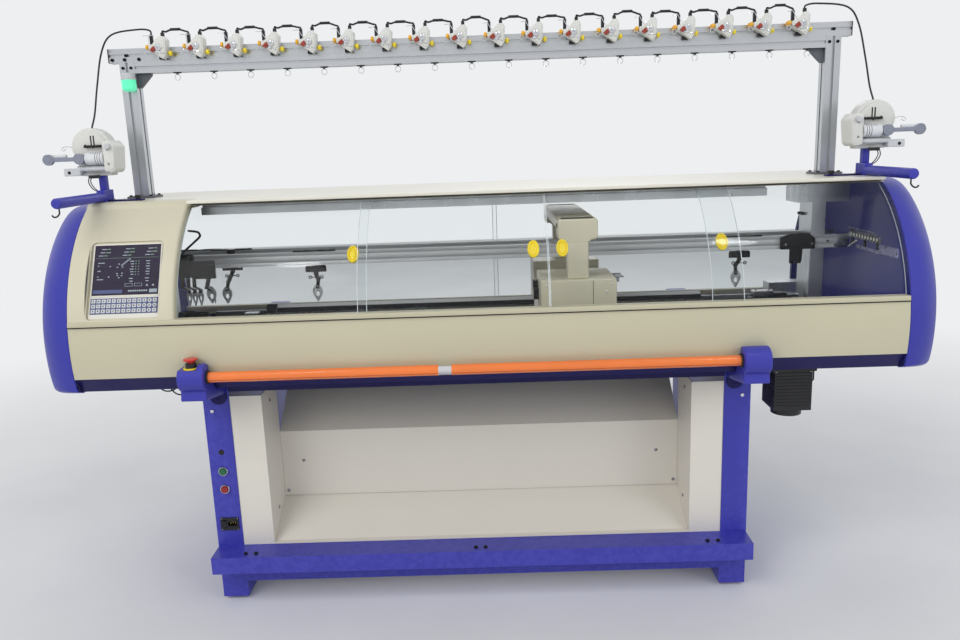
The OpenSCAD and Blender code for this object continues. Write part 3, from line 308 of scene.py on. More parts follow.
class Piece:
    def __init__(self):
        self.v, self.f = [], []

    def put(self, verts, faces, m=None):
        k = len(self.v)
        self.v += [tuple(m @ Vector(p)) if m else tuple(p) for p in verts]
        self.f += [tuple(i + k for i in f) for f in faces]
        return self

    def solid(self, verts, faces, bevel=0.0, seg=2, m=None, angle=25):
        if not bevel:
            return self.put(verts, faces, m)
        bm = bmesh.new()
        points = [bm.verts.new(p) for p in verts]
        for f in faces:
            bm.faces.new([points[i] for i in f])
        bmesh.ops.recalc_face_normals(bm, faces=bm.faces)
        bm.normal_update()
        edges = [e for e in bm.edges if len(e.link_faces) == 2 and e.calc_face_angle(0) > math.radians(angle)]
        bmesh.ops.bevel(bm, geom=edges, offset=bevel, segments=seg, profile=0.6, affect="EDGES",
                        clamp_overlap=True)
        bm.verts.ensure_lookup_table()
        bm.verts.index_update()
        out = [tuple(v.co) for v in bm.verts]
        corners = [[v.index for v in f.verts] for f in bm.faces]
        bm.free()
        return self.put(out, corners, m)

    def box(self, x0, x1, y0, y1, z0, z1, bevel=1.0, seg=2, m=None):
        p = [(x, y, z) for x in (x0, x1) for y in (y0, y1) for z in (z0, z1)]
        f = [(0, 1, 3, 2), (4, 6, 7, 5), (0, 4, 5, 1), (2, 3, 7, 6), (0, 2, 6, 4), (1, 5, 7, 3)]
        return self.solid(p, f, bevel, seg, m)

    def boxes(self, rows, bevel=1.0, seg=1, m=None):
        for row in rows:
            self.box(*row, bevel, seg, m)
        return self

    def prism(self, axis, pts, lo, hi, bevel=0.0, seg=2, m=None, angle=25):
        """pts are (y, z) for axis x, (x, z) for axis y and (x, y) for axis z."""
        place = "xyz".index(axis)
        v = [(*p[:place], w, *p[place:]) for w in (lo, hi) for p in (tuple(q) for q in pts)]
        n = len(pts)
        return self.solid(v, [lid(n, 0), lid(n, 1)[::-1]] + band(n, 0, 1), bevel, seg, m, angle)

    def lathe(self, p, axis, prof, seg=40, m=None):
        """prof is (radius, height) along the axis from p."""
        side, up, along = (Vector(a) for a in AXES[axis])
        p = Vector(p)
        v, f, rows = [], [], []
        for r, h in prof:
            if r <= 1e-6:
                rows.append([len(v)])
                v.append(p + along * h)
            else:
                rows.append(list(range(len(v), len(v) + seg)))
                v += [p + along * h + (side * c + up * s) * r for c, s in circle(seg)]
        for r0, r1 in zip(rows, rows[1:]):
            if len(r0) == 1 and len(r1) == 1:
                continue
            for i in range(seg):
                j = (i + 1) % seg
                if len(r0) == 1:
                    f.append((r0[0], r1[j], r1[i]))
                elif len(r1) == 1:
                    f.append((r0[i], r0[j], r1[0]))
                else:
                    f.append((r0[i], r0[j], r1[j], r1[i]))
        return self.put(v, f, m)

    def lathes(self, places, axis, prof, seg=40, m=None):
        for p in places:
            self.lathe(p, axis, prof, seg, m)
        return self

    def cyl(self, p, axis, length, r, bevel=0.6, seg=32, m=None):
        b = min(bevel, r * 0.5, abs(length) * 0.4)
        p = Vector(p)
        if length < 0:
            p["xyz".index(axis)] += length
            length = -length
        start = [(0, 0), (r - b, 0), (r - b * 0.3, b * 0.3), (r, b)]
        return self.lathe(p, axis, start + [(q, length - h) for q, h in start[::-1]], seg, m)

    def ring(self, p, axis, big, small, seg=32, sides=12, m=None):
        wheel = circle(sides)
        prof = [(big + small * c, small * s) for c, s in wheel + wheel[:1]]
        return self.lathe(p, axis, prof, seg, m)

    def tube(self, pts, r, sides=10, smooth=0, m=None):
        pts = [Vector(p) for p in pts]
        last = len(pts) - 1
        if smooth:
            out = []
            for i in range(last):
                four = pts[max(i - 1, 0)], pts[i], pts[i + 1], pts[min(i + 2, last)]
                out += [spline(*four, k / smooth) for k in range(smooth)]
            pts = out + [pts[-1]]
            last = len(pts) - 1
        ways = [(pts[min(i + 1, last)] - pts[max(i - 1, 0)]).normalized() for i in range(last + 1)]
        u = ways[0].orthogonal().normalized()
        v, f = [], []
        for p, way in zip(pts, ways):
            u = (u - way * u.dot(way)).normalized()
            w = way.cross(u)
            v += [p + (u * c + w * s) * r for c, s in circle(sides)]
        for i in range(last):
            f += band(sides, i, i + 1)
        return self.put(v, f + [lid(sides, 0)[::-1], lid(sides, last)], m)

    def screw(self, p, axis, r=5, h=3, sign=-1):
        """Cap screw with a hexagon socket. sign is the way its head faces along the axis."""
        prof = [(1, 0), (1, 0.75), (0.86, 1), (0.5, 1), (0.5, 0.35), (0, 0.35)]
        return self.lathe(p, axis, [(r * a, sign * h * b) for a, b in prof][::sign], 18)

    def screws(self, places, axis, r=5, h=3, sign=-1):
        for p in places:
            self.screw(p, axis, r, h, sign)
        return self

    def make(self, name, mat, *stands_for, body="frame", slot=None, angle=32):
        me = bpy.data.meshes.new(name)
        me.from_pydata(metres(self.v), [], self.f)
        bm = bmesh.new()
        bm.from_mesh(me)
        bmesh.ops.remove_doubles(bm, verts=bm.verts, dist=1e-6)
        bmesh.ops.recalc_face_normals(bm, faces=bm.faces)
        bm.to_mesh(me)
        bm.free()
        me.shade_smooth()
        me.set_sharp_from_angle(angle=math.radians(angle))
        me.materials.append(M[mat])
        o = link(name, me)
        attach(o, body)
        if stands_for:
            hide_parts(*stands_for)
        return o

def pieces(count):
    return [Piece() for _ in range(count)]

def cut_out(o, cutter, mat, angle=35):
    """Cut a piece's shape out of an object."""
    me = bpy.data.meshes.new("cutter")
    me.from_pydata(metres(cutter.v), [], cutter.f)
    tool = link("cutter", me)
    mod = o.modifiers.new("cut", "BOOLEAN")
    mod.operation, mod.object, mod.solver = "DIFFERENCE", tool, "EXACT"
    done = bpy.data.meshes.new_from_object(o.evaluated_get(bpy.context.evaluated_depsgraph_get()))
    o.modifiers.clear()
    o.data = done
    done.materials.clear()
    done.materials.append(M[mat])
    done.set_sharp_from_angle(angle=math.radians(angle))
    bpy.data.objects.remove(tool)

def paint(node, mat, bevel=0.0, seg=2):
    """A CAD node that stays: its material, and a small rounding of its edges."""
    o = nodes[node]
    o.data.materials.clear()
    o.data.materials.append(M[mat])
    for p in o.data.polygons:
        p.material_index = 0
    if bevel:
        b = o.modifiers.new("edge", "BEVEL")
        b.width = bevel * 0.001
        b.segments = seg
        b.limit_method = "ANGLE"
        b.angle_limit = math.radians(50)
        b.harden_normals = False
        b.use_clamp_overlap = True

# Head: end caps, lower covers and tracks

def cap_r(th, a, off=0.0):
    """Radius of the moulded cap at polar angle th: a round front and back between a flat top and bottom."""
    r = HEAD_R - 160 * (1 - math.cos(a))
    s = math.sin(th)
    lim = 385.0 / s if s > 0.02 else (119.0 / -s if s < -0.02 else 1e6)
    blend = 14.0
    d = max(-60, min(60, (lim - r) / blend))
    return r - blend * math.log(1 + math.exp(-d)) - off

def cap_row(side, i, rings, n, off):
    """Ring i of a cap's skin that lies off inside the outer one."""
    last = i == rings
    a = math.radians(89) if last else math.pi / 2 * (i / rings) ** 0.9
    x = HEAD_HALF + (126 - off) * math.sin(a) if i else HEAD_HALF + 0.2
    row = []
    for k in range(n):
        th = 2 * math.pi * (k + 0.5) / n
        r = max(2, cap_r(th, math.pi / 2, off) * 0.995) if last else max(4, cap_r(th, a, off))
        row.append((side * x, r * math.cos(th), HEAD_Z + r * math.sin(th)))
    return row

def end_cap(side, name):
    n, rings, wall = 144, 22, 4.0
    outer = [cap_row(side, i, rings, n, 0.0) for i in range(rings + 1)]
    inner = [cap_row(side, i, rings, n, wall) for i in range(rings, -1, -1)]
    faces = []
    for j in range(2 * rings + 1):
        if j != rings:
            faces += band(n, j, j + 1)
    faces += [lid(n, rings), lid(n, rings + 1)[::-1]] + band(n, 0, 2 * rings + 1)
    shell = Piece().put(sum(outer + inner, []), faces)
    shell.make(name + "_end_cap_shell", "cap", name + "_end_cap", angle=40)
    # bead along the seam
    seam = []
    for k in range(97):
        th = math.radians(-14 + 208 * k / 96)
        r = cap_r(th, 0.0, 1.2)
        seam.append((side * (HEAD_HALF + 1.6), r * math.cos(th), HEAD_Z + r * math.sin(th)))
    Piece().tube(seam, 1.3, 6).make(name + "_cap_seam", "navy")

end_cap(-1, "left")
end_cap(1, "right")
paint("head_tray", "navy", 0.8)
paint("lower_covers", "beige", 0.7)
paint("cover_tracks", "beige", 0.6)

def painted_seam_shade():
    """Dark strip in the seam under the front track: painted shade in the seam's gap."""
    a, b = Vector((-449.3, 878.2)), Vector((-450.4, 881.0))
    half = (b - a).orthogonal().normalized() * 0.5
    outline = [a + half, b + half, b - half, a - half]
    Piece().prism("x", outline, -HEAD_HALF + 2, HEAD_HALF - 2).make("cover_track_seal", "dark")

painted_seam_shade()

# Console: a moulded housing at the head's left end with the screen and the keypad in a recess

CONSOLE_X = (-1123.7, -835.3)
RECESS_X = -975.5
RECESS_WIDE, RECESS_HIGH = 197, 223
RECESS_SLOPE = math.asin(198 / HEAD_R)
RECESS_FLOOR = HEAD_R * math.cos(math.asin(RECESS_HIGH / 2 / HEAD_R)) - 6
ARC_STEPS, TURN_STEPS = 40, 8

def console_profile():
    """From the track over the round and a soft turn to the top's rear edge, and the arc's last angle."""
    a0 = math.asin((893.2 - HEAD_Z) / HEAD_R)
    a1 = math.asin((HEAD_TOP - 14 - HEAD_Z) / HEAD_R) - 0.012
    prof = []
    for i in range(ARC_STEPS + 1):
        a = a0 + (a1 - a0) * i / ARC_STEPS
        prof.append((-HEAD_R * math.cos(a), HEAD_Z + HEAD_R * math.sin(a)))
    y = prof[-1][0]
    p0, p1, p2 = Vector(prof[-1]), Vector((y + 9.5, HEAD_TOP - 0.3)), Vector((y + 30, HEAD_TOP))
    for k in range(1, TURN_STEPS + 1):
        t = k / TURN_STEPS
        prof.append(tuple(p0 * (1 - t) ** 2 + p1 * 2 * t * (1 - t) + p2 * t * t))
    return prof + [(y, HEAD_TOP) for y in (-205, -190, -175, -162, -150.3)], a1

def console_shell():
    prof, a1 = console_profile()
    x0, x1 = CONSOLE_X
    edge, wall, lip = 10.0, 4.0, 25.0
    turns = [math.radians(a) for a in (15, 30, 45, 60, 75, 90)]
    columns = [(x0, 0)] + [(x0 + 2 + i * (x1 - x0 - 4 - edge) / 24, 0) for i in range(25)]
    columns += [(x1 - edge + edge * math.sin(a), edge * (1 - math.cos(a))) for a in turns]
    columns += [(x1, lip), (x1 - wall, lip), (x1 - wall, edge + 1)]
    columns += [(x, wall) for x in (x1 - 14, RECESS_X, x0)]

    def inward(i, d):
        y, z = prof[i]
        if i <= ARC_STEPS:
            k = (HEAD_R - d) / HEAD_R
            return (y * k, HEAD_Z + (z - HEAD_Z) * k)
        t = min(1, (i - ARC_STEPS) / TURN_STEPS)
        n = Vector((-math.cos(a1) * (1 - t), math.sin(a1) * (1 - t) + t)).normalized()
        return (y - n.x * d, z - n.y * d)

    n, last = len(columns), len(prof) - 1
    v = [(x, *inward(i, d)) for i in range(last + 1) for x, d in columns]
    f = []
    for i in range(last):
        f += band(n, i, i + 1)
    shell = Piece().put(v, f + [lid(n, 0), lid(n, last)[::-1]])
    return shell.make("console_shell", "beige_cast", "console_housing", angle=35)

def on_recess(u, v, d):
    """Point at u along X and v up the slope from the recess's middle, d above its floor."""
    c, s, r = math.cos(RECESS_SLOPE), math.sin(RECESS_SLOPE), RECESS_FLOOR + d
    return (RECESS_X + u, s * v - c * r, HEAD_Z + s * r + c * v)

def recess_outline():
    corner = 14.0
    u, v = RECESS_WIDE / 2 - corner, RECESS_HIGH / 2 - corner
    out = []
    for middle, start in (((u, v), 0), ((-u, v), 90), ((-u, -v), 180), ((u, -v), 270)):
        out += bow(middle, corner, start, start + 90, 8)
    return out

def recess_loop(off, d, on_round=True):
    """The outline moved out by off, at d over the round surface or over the floor."""
    out = []
    for u, v in recess_outline():
        u, v = u + math.copysign(off, u), v + math.copysign(off, v)
        rise = math.sqrt(HEAD_R ** 2 - v * v) - RECESS_FLOOR if on_round else 0
        out.append(on_recess(u, v, rise + d))
    return out

def console_recess(shell):
    """The tray of the recess, with a lip that stands just proud of the round, and the opening for it."""
    rim = ((6, -3.9), (6, -0.6), (4.6, 0), (2.4, -0.1), (0, -2), (-1, -6))
    floor_edge = ((-1.6, 2), (-2.6, 0.6), (-4.6, 0), (-4.6, -3), (4.6, -3))
    loops = [recess_loop(*a) for a in rim] + [recess_loop(*a, False) for a in floor_edge]
    n = len(loops[0])
    f = []
    for j in range(8):
        f += band(n, j, j + 1)
    f += [lid(n, 8), lid(n, 9)[::-1]] + band(n, 9, 10) + band(n, 10, 0)
    Piece().put(sum(loops, []), f).make("console_recess", "beige_cast", "console_housing", angle=38)
    low, high = recess_loop(3.5, -40, False), recess_loop(3.5, 60, False)
    opening = Piece().put(low + high, [lid(n, 0), lid(n, 1)[::-1]] + band(n, 0, 1))
    cut_out(shell, opening, "beige_cast")

def recess_frame(v):
    """Local frame on the recess's floor, v up the slope from its middle."""
    c, s = math.cos(RECESS_SLOPE), math.sin(RECESS_SLOPE)
    base = Matrix(((1, 0, 0, RECESS_X), (0, s, -c, -c * RECESS_FLOOR), (0, c, s, HEAD_Z + s * RECESS_FLOOR),
                   (0, 0, 0, 1)))
    return base @ shift(0, v, 0)

def console_screen():
    """Dark glass of 182 by 143 in a thin frame. The readout is plain bars and blocks, with no lettering."""
    w, h, up = 91, 71.5, 31
    m = recess_frame(up)
    rim = Piece().boxes([(-w - 4, w + 4, h, h + 4, 0, 2.4), (-w - 4, w + 4, -h - 4, -h, 0, 2.4),
                         (-w - 4, -w, -h, h, 0, 2.4), (w, w + 4, -h, h, 0, 2.4)], 0.8, 2, m)
    rim.box(-95.5, 95.5, -105 - up, 106.5 - up, 0, 0.5, 0, 1, m)
    rim.make("screen_bezel", "panel", "display_screen")
    glass = Piece().box(-w - 0.2, w + 0.2, -h - 0.2, h + 0.2, 0, 1.5, 0.3, 1, m)
    glass.make("screen_glass", "screen", "display_screen")
    pale, soft, strip = pieces(3)

    def bar(piece, x, z, wide, high=2.4):
        piece.box(x, x + wide, z - high / 2, z + high / 2, 1.5, 1.62, 0, 1, m)

    for x in (-80, -14, 48):
        for k, z in enumerate((60.5, 51, 42)):
            bar(pale, x + 4 * (2 - k), z, 13)
            bar(soft, x + 4 * (2 - k) + 15, z, 9 + 5 * (k % 2))
    bar(soft, -86, 34.5, 172, 0.7)
    for z, wide in ((21, 18), (13, 4), (-2, 9), (-18, 4), (-26, 17)):
        bar(pale, -80, z, wide)
    for x, z in ((-48, 11), (-50, -19), (-24, 17), (-28, 8), (-14, 8), (-28, -10), (-14, -9), (-26, -16),
                 (-15, -16), (-22, -22)):
        bar(pale, x, z, 4, 3)
    for k in range(6):
        bar(pale, -16 + 4 * k, 14 + 3.4 * k, 5, 3)
    for k, z in enumerate((24, 16.5, 9, 1.5, -6, -13.5, -25, -33)):
        bar(pale, 8 + 2 * (k % 3), z, 11 - 2 * (k % 3))
        bar(pale, 52 + 2 * (k % 2), z, 11 - 2 * (k % 2))
        if k < 6:
            bar(soft, 23, z, 3)
            bar(soft, 31, z, 3)
    for x in (-2, 24):
        for row in ((x, -39, 21, 0.8), (x, -47, 21, 0.8), (x, -43, 1, 8), (x + 20, -43, 1, 8)):
            bar(pale, *row)
    for row in ((56, -45, 5, 5), (73, -45, 5, 5), (66, -61, 21, 10)):
        bar(pale, *row)
    for k in range(9):
        bar(pale, 8 + 6 * k, -60, 4.6, 4.4)
    bar(strip, -88, -61, 80, 10)
    pale.make("screen_readout", "readout", "display_screen")
    soft.make("screen_readout_marks", "readout2", "display_screen")
    strip.make("screen_strip", "film", "display_screen", slot="screen_glass")

def console_keypad():
    """Three rows of thirteen keys, the round ones in a cross at the right."""
    m = recess_frame(-70.5)
    pitch = 13.9
    Piece().box(-92, 92, -22, 22, 0, 1.6, 0.6, 2, m).make("keypad_film", "film", "keypad")
    keys, marks = pieces(2)
    for i in range(13):
        for j in range(3):
            x, y = (i - 6) * pitch, (1 - j) * pitch
            if (i, j) in ((11, 0), (10, 1), (11, 1), (12, 1), (11, 2)):
                keys.lathe((x, y, 1.6), "z", [(0, 0), (5.7, 0), (5.7, 0.8), (5.0, 1.2), (0, 1.2)], 24, m)
            else:
                keys.box(x - 5.5, x + 5.5, y - 5.2, y + 5.2, 1.6, 2.8, 0.7, 2, m)
            marks.box(x - 1.2 - (i + j) % 2 * 0.7, x + 1.2, y - 1.8, y + 1.8, 2.7, 2.95, 0, 1, m)
    keys.make("keypad_keys", "grey", "keypad", slot="keypad_film")
    marks.make("keypad_marks", "dark", "keypad", slot="keypad_film")

console_recess(console_shell())
console_screen()
console_keypad()

# Sliding covers: clear sheets, their polished edges and the yellow grips

# Half width, half height and height of a grip's loops: rim, dished floor and raised island
GRIP = ((13, 22, -6), (16, 25, -5.6), (16, 25, 1.2), (15.4, 24.4, 2), (13.4, 22.4, 2), (12.4, 21.4, 1.2),
        (11.6, 20.4, -2.6), (9.6, 18, -3), (8.6, 16.4, -1.8), (7, 14.6, -0.9), (4, 9, -0.5), (1, 2, -0.4))

def arc(r, z0, z1, side):
    """Points (y, z) of a round about the head's middle line between two heights."""
    a0, a1 = math.asin((z0 - HEAD_Z) / r), math.asin((z1 - HEAD_Z) / r)
    turns = [a0 + (a1 - a0) * i / 44 for i in range(45)]
    return [(side * r * math.cos(a), HEAD_Z + r * math.sin(a)) for a in turns]

def cover(name, body, x, w, r, grip, grip_z, side):
    """Sheet from x over the width w, and its grip at grip. side is -1 at the front."""
    thick, edge = 3.0, 0.8
    z0, z1 = (886.3 if side < 0 else 758.3), 1184.7
    prof = arc(r, z0, z1, side) + arc(r - thick, z0, z1, side)[::-1]
    sheet = Piece().prism("x", prof, x + 2 * edge, x + w - 2 * edge)
    sheet.make(name + "_sheet", "clear", name, body=body, angle=40)
    edges = Piece()
    for xe in (x + edge, x + w - edge):
        edges.prism("x", prof, xe - edge, xe + edge)
    edges.make(name + "_edges", "clear_edge", name, body=body, angle=40)
    a = math.asin((grip_z - HEAD_Z) / r)
    c, s = math.cos(a), math.sin(a)
    m = Matrix(((-side, 0, 0, grip), (0, -side * s, side * c, side * r * c), (0, c, s, HEAD_Z + r * s),
                (0, 0, 0, 1)))
    n, last = 48, len(GRIP) - 1
    v = [(hw * c, hh * s, h) for hw, hh, h in GRIP for c, s in circle(n)]
    f = []
    for j in range(last):
        f += band(n, j, j + 1)
    handle = Piece().put(v, f + [lid(n, 0)[::-1], lid(n, last)], m)
    handle.make(name + "_grip", "yellow", name, body=body, angle=40)

def all_covers():
    """The outer pair's radius is 14 less than the inner pair's, so that they slide past each other."""
    wide, outer, inner, near = 515, 432, 446, 38
    far = wide - near
    fronts = ((-834, outer, far), (-343, inner, far), (174, inner, near), (607, outer, near))
    for i, (x, r, grip) in enumerate(fronts, 1):
        cover("front_cover_%d" % i, "cover_%d" % i, x, wide, r, x + grip, 1043, -1)
    cover("rear_cover_left", "cover_rear_left", -1122, 1166, inner, -8, 943, 1)
    cover("rear_cover_right", "cover_rear_right", 28, 1094, outer, 80, 943, 1)

def top_board():
    """A moulded lid with a rounded front and a step where it meets the covers."""
    x, y, step = HEAD_HALF - 0.4, 262, -834.6
    outline = [(-x, -149.6), (-x, y), (x, y), (x, -y), (step, -y), (step, -149.6)]
    Piece().prism("z", outline, HEAD_TOP - 10, HEAD_TOP, 3.6, 4).make("top_board_shell", "board", "top_board")
    seal = Piece()
    for y in (-247, 247):
        seal.box(-826 if y < 0 else -HEAD_HALF + 6, HEAD_HALF - 10, y - 6, y + 6, 1184.4, 1187.3, 0.8, 1)
    seal.make("top_board_seal", "black")

all_covers()
top_board()

# Inner frame and yarn rails

paint("inner_frame", "alu_up", 1.2)

def inner_frame_screws():
    pc = Piece()
    column_face, z = 1003.2, 1074
    for side in (-1, 1):
        for y in (42, 14):
            pc.cyl((side * column_face, y, z), "x", -side * 9, 4.6, 1.0, 20)
    pc.make("inner_frame_screws", "blackened")

def rails():
    """Rails with two shallow running grooves on both faces."""
    face = [(0, 976), (0, 984), (1.2, 985.2), (1.2, 989), (0, 990.2), (0, 1003), (1.2, 1004.2), (1.2, 1008),
            (0, 1009.2), (0, 1016)]
    for s, name in ((-1, "front"), (1, "rear")):
        y0, y1 = sorted((s * 51.0, s * 69.0))
        prof = [(y1 - d, z) for d, z in face] + [(y0 + d, z) for d, z in face[::-1]]
        rail = Piece().prism("x", prof[-1:] + prof[:-1], -1116, 1116, 0.35, 1)
        rail.make("yarn_rail_" + name, "rail", "yarn_rails")

def rail_ends():
    front, back = -84, -69
    pc = Piece()
    right = [(903, 976), (1005, 976), (1005, 1008), (985, 1024), (930, 1024), (903, 1012)]
    left = [(-960, 951), (-900, 951), (-900, 946), (-834, 946), (-834, 1000), (-898, 1000), (-898, 1024),
            (-960, 1024)]
    pc.prism("y", right, front, back, 1.2, 2)
    pc.prism("y", left, front, back, 1.2, 2)
    pc.box(-890, -846, front - 2, front, 956, 990, 0.8, 1)
    for x in (931, 951):
        pc.box(x, x + 15, -80, -73, 932, 977, 1.0, 1)
    hook = [(929, 977), (969, 977), (967, 940), (958, 934), (948, 944), (938, 936), (931, 944)]
    pc.prism("y", hook, -81.5, -79.5, 0.5, 1)
    pc.box(930, 985, front - 2.5, front, 984, 1000, 0.8, 1)
    pc.make("rail_end_stops", "blackened", "yarn_rails")
    pc = Piece()
    places = ((-950, 1014), (-908, 1014), (-950, 962), (-912, 962), (-842, 992), (-842, 954), (915, 992),
              (995, 992))
    pc.screws([(x, front, z) for x, z in places], "y", 3.2, 2.6)
    for s in (-1, 1):
        pc.screw((s * 1072, back, 983), "y", 5, 3.6)
        pc.screw((s * 1048, back, 996), "y", 4, 3)
    pc.make("rail_screws", "steel")
    pc = Piece()
    pad_x, half = 1095, 20
    for x in (-pad_x, pad_x):
        for s in (-1, 1):
            pc.box(x - half, x + half, *sorted((s * 50.4, s * 69.6)), 975.4, 1016.8, 1.2, 2)
    pc.make("rail_end_pads", "steel")

inner_frame_screws()
rails()
rail_ends()

# Yarn carriers

TIP_PLATE = [(-4, 60)] + mirrored([(4, 60), (10, 53), (15, 43), (13.4, 28), (5.4, 13), (1.6, 7)])[:-1]
CROSS_Z, ARM_Z, TIP_Z = 951, 875, 845

def slab(pc, a, b, x0, x1, w, t=3.4):
    """A flat strip between two points in y and z, whose middle runs from x0 to x1."""
    a, b = Vector(a), Vector(b)
    d = (b - a).normalized()
    n = d.orthogonal() * t / 2
    a, b = a - d * 2, b + d * 2
    q = [(x0 - w / 2, a), (x0 + w / 2, a), (x1 + w / 2, b), (x1 - w / 2, b)]
    v = [(x, p.x + k * n.x, p.y + k * n.y) for k in (1, -1) for x, p in q]
    f = [(0, 1, 2, 3), (7, 6, 5, 4)] + [(i, i + 4, (i + 1) % 4 + 4, (i + 1) % 4) for i in range(4)]
    pc.solid(v, f, 0.5, 1)

def closed_curve(pts, k):
    out, n = [], len(pts)
    for i in range(n):
        four = [Vector(pts[(i + j) % n]) for j in (-1, 0, 1, 2)]
        out += [spline(*four, j / k) for j in range(k)]
    return out

def carrier_arm(dark, silver, x, mid, tip, lean, wide=1.0):
    """Strip arm from the crosspiece to the tip, a silver plate with an oval hole and the yarn nozzle."""
    outer = abs(mid) > 60
    elbow, joint = CROSS_Z - (30 if outer else 6), TIP_Z + (55 if outer else 75)

    def off(z):
        return x + lean * (CROSS_Z - z) / 100

    w = min(1, wide + 0.2)
    slab(dark, (mid, CROSS_Z + 4), (mid, elbow), off(CROSS_Z), off(elbow), 15 * w)
    slab(dark, (mid, elbow), (tip, joint), off(elbow), off(joint), 14 * w)
    slab(dark, (tip, joint), (tip, 893), off(joint), off(ARM_Z), 11 * w)
    cx = off(ARM_Z)
    rim, hole = [], []
    for p in closed_curve(TIP_PLATE, 4):
        a = math.atan2(p.y - 29, p.x)
        rim.append((cx + wide * p.x, TIP_Z + p.y))
        hole.append((cx + wide * 6 * math.cos(a), TIP_Z + 29 + 9 * math.sin(a)))
    n = len(rim)
    v = [(a, tip + k, b) for loop in (rim, hole) for k in (-0.8, 0.8) for a, b in loop]
    silver.put(v, band(n, 0, 1) + band(n, 3, 2) + band(n, 2, 0) + band(n, 1, 3))
    for loop in (rim, hole):
        silver.tube([(a, tip, b) for a, b in loop + loop[:1]], 0.9, 6)
    nozzle = [(0, 0), (1.2, 0), (1.7, 1.2), (2.4, 9), (3.2, 12), (3.2, 17), (0, 17)]
    silver.lathe((off(857), tip, 850.2), "z", nozzle, 16)
    silver.screw((cx, tip - 0.8, 899), "y", 2.4, 1.4)

def carrier(i, x, face, tip, side, lean):
    """Crosspiece, plate on the rail's face, long shoe on the rail's top, arm, and ring guides on a wire."""
    name, body = "yarn_carrier_%d" % i, "carrier_%d" % i
    out = face + side * 6.0
    dark, silver = pieces(2)
    plate = mirrored([(32.5, CROSS_Z), (32.5, 968), (29, 972), (12, 972), (12, 1019)], x)
    dark.prism("y", plate, *sorted((face, out)), 0.8, 1)
    y0, y1 = sorted((out, face - side * 7.0))
    rail_top, shoe, shoe_half = 1016.3, 4.0, 66
    dark.box(x - shoe_half, x - 11, y0, y1, rail_top, rail_top + shoe, 0.8, 1)
    dark.box(x + 11, x + shoe_half, y0, y1, rail_top, rail_top + shoe, 0.8, 1)
    dark.box(x - 12, x + 12, y0, y1, rail_top, rail_top + shoe / 2, 0.4, 1)
    silver.screws([(x + d, (y0 + y1) / 2, rail_top + shoe - 0.1) for d in (-40, 40)], "z", 3.0, 1.4, 1)
    carrier_arm(dark, silver, x, face + side * 3, tip, lean)
    mid, wire_z = x + lean * 0.17, 934
    dark.tube([(mid - 14, out, wire_z), (mid + 14, out, wire_z)], 1.5, 8)
    for d in (-18, 18):
        dark.ring((mid + d, out, wire_z), "y", 4.0, 1.7, 24, 10)
    dark.make(name + "_block", "blackened", name, body=body)
    silver.screws([(x + d, out, 961) for d in (-24, 24)], "y", 3.0, 1.8, side)
    silver.screws([(x, out, z) for z in (1000, 982)], "y", 3.2, 1.8, side)
    silver.make(name + "_tip", "spoon", name, body=body)

def parked_carriers():
    """Carriers under the block at the front rail's left end, and the wire that holds their yarns."""
    dark, silver = pieces(2)
    for i in range(3):
        carrier_arm(dark, silver, -939 + 18.5 * i, -73, -14, -8, 0.56)
    wire = [(-925, -80, 1022), (-916, -100, 1033), (-888, -100, 1056), (-863, -100, 1077), (-862, -100, 1086),
            (-869, -100, 1093), (-896, -100, 1097)]
    dark.tube(wire, 3.4, 10, 4)
    dark.make("parked_carrier_arms", "blackened", "yarn_rails")
    silver.make("parked_carrier_tips", "spoon", "yarn_rails")

carrier(1, -528, -50.7, -5, 1, -11)
carrier(2, -818, 50.7, 5, -1, -15)
carrier(3, -925, 69.3, 14, 1, 55)
carrier(4, 787, -50.7, -5, 1, 4)
parked_carriers()

# Needle beds: the slotted beds stay, with needles in them and a bar over their butts

paint("front_needle_bed", "steel", 0.0)
paint("rear_needle_bed", "steel", 0.0)
paint("bed_frame", "cast", 1.0)

def bed_details(s, body, name):
    """s is -1 for the front bed. Local y runs down the slope and local z out of the bed's face."""
    c, n = math.cos(BED_SLOPE), math.sin(BED_SLOPE)
    m = Matrix(((1, 0, 0, -12), (0, s * c, s * n, s * 3.0), (0, -n, c, BED_Z), (0, 0, 0, 1)))
    needles, lip, bars, screws = pieces(4)
    for x in range(-680, 681, 20):
        needles.box(x - 0.7, x + 0.7, 1.5, 150, -4.6, -1.2, 0, 1, m)
        needles.box(x - 0.9, x + 0.9, 88, 93, -1.2, 1.6, 0, 1, m)
        needles.box(x - 0.9, x + 0.9, 132, 136, -1.2, 1.2, 0, 1, m)
    needles.make(name + "_needles", "chrome", body=body)
    lip.box(-655, 690, 1.5, 15.5, -0.4, 0.5, 0.2, 1, m)
    for x in range(-650, 681, 10):
        lip.box(x - 0.9, x + 0.9, 0.2, 9, -0.4, 0.9, 0, 1, m)
    lip.make(name + "_lip", "bright", body=body)
    strips = ((-655, 690, 17, 34), (-690, -658, 2, 36), (-690, 690, 150, 160))
    bars.boxes([(*strip, 0.0, 1.0) for strip in strips], 0.4, 1, m)
    bars.make(name + "_cover_bars", "blackened", body=body)
    head = [(0, 0), (3, 0), (3, 0.6), (2.2, 0.9), (0, 0.9)]
    screws.lathes([(i * 42.0, 155, 0.8) for i in range(-16, 17)], "z", head, 12, m)
    screws.make(name + "_bar_screws", "steel", body=body)

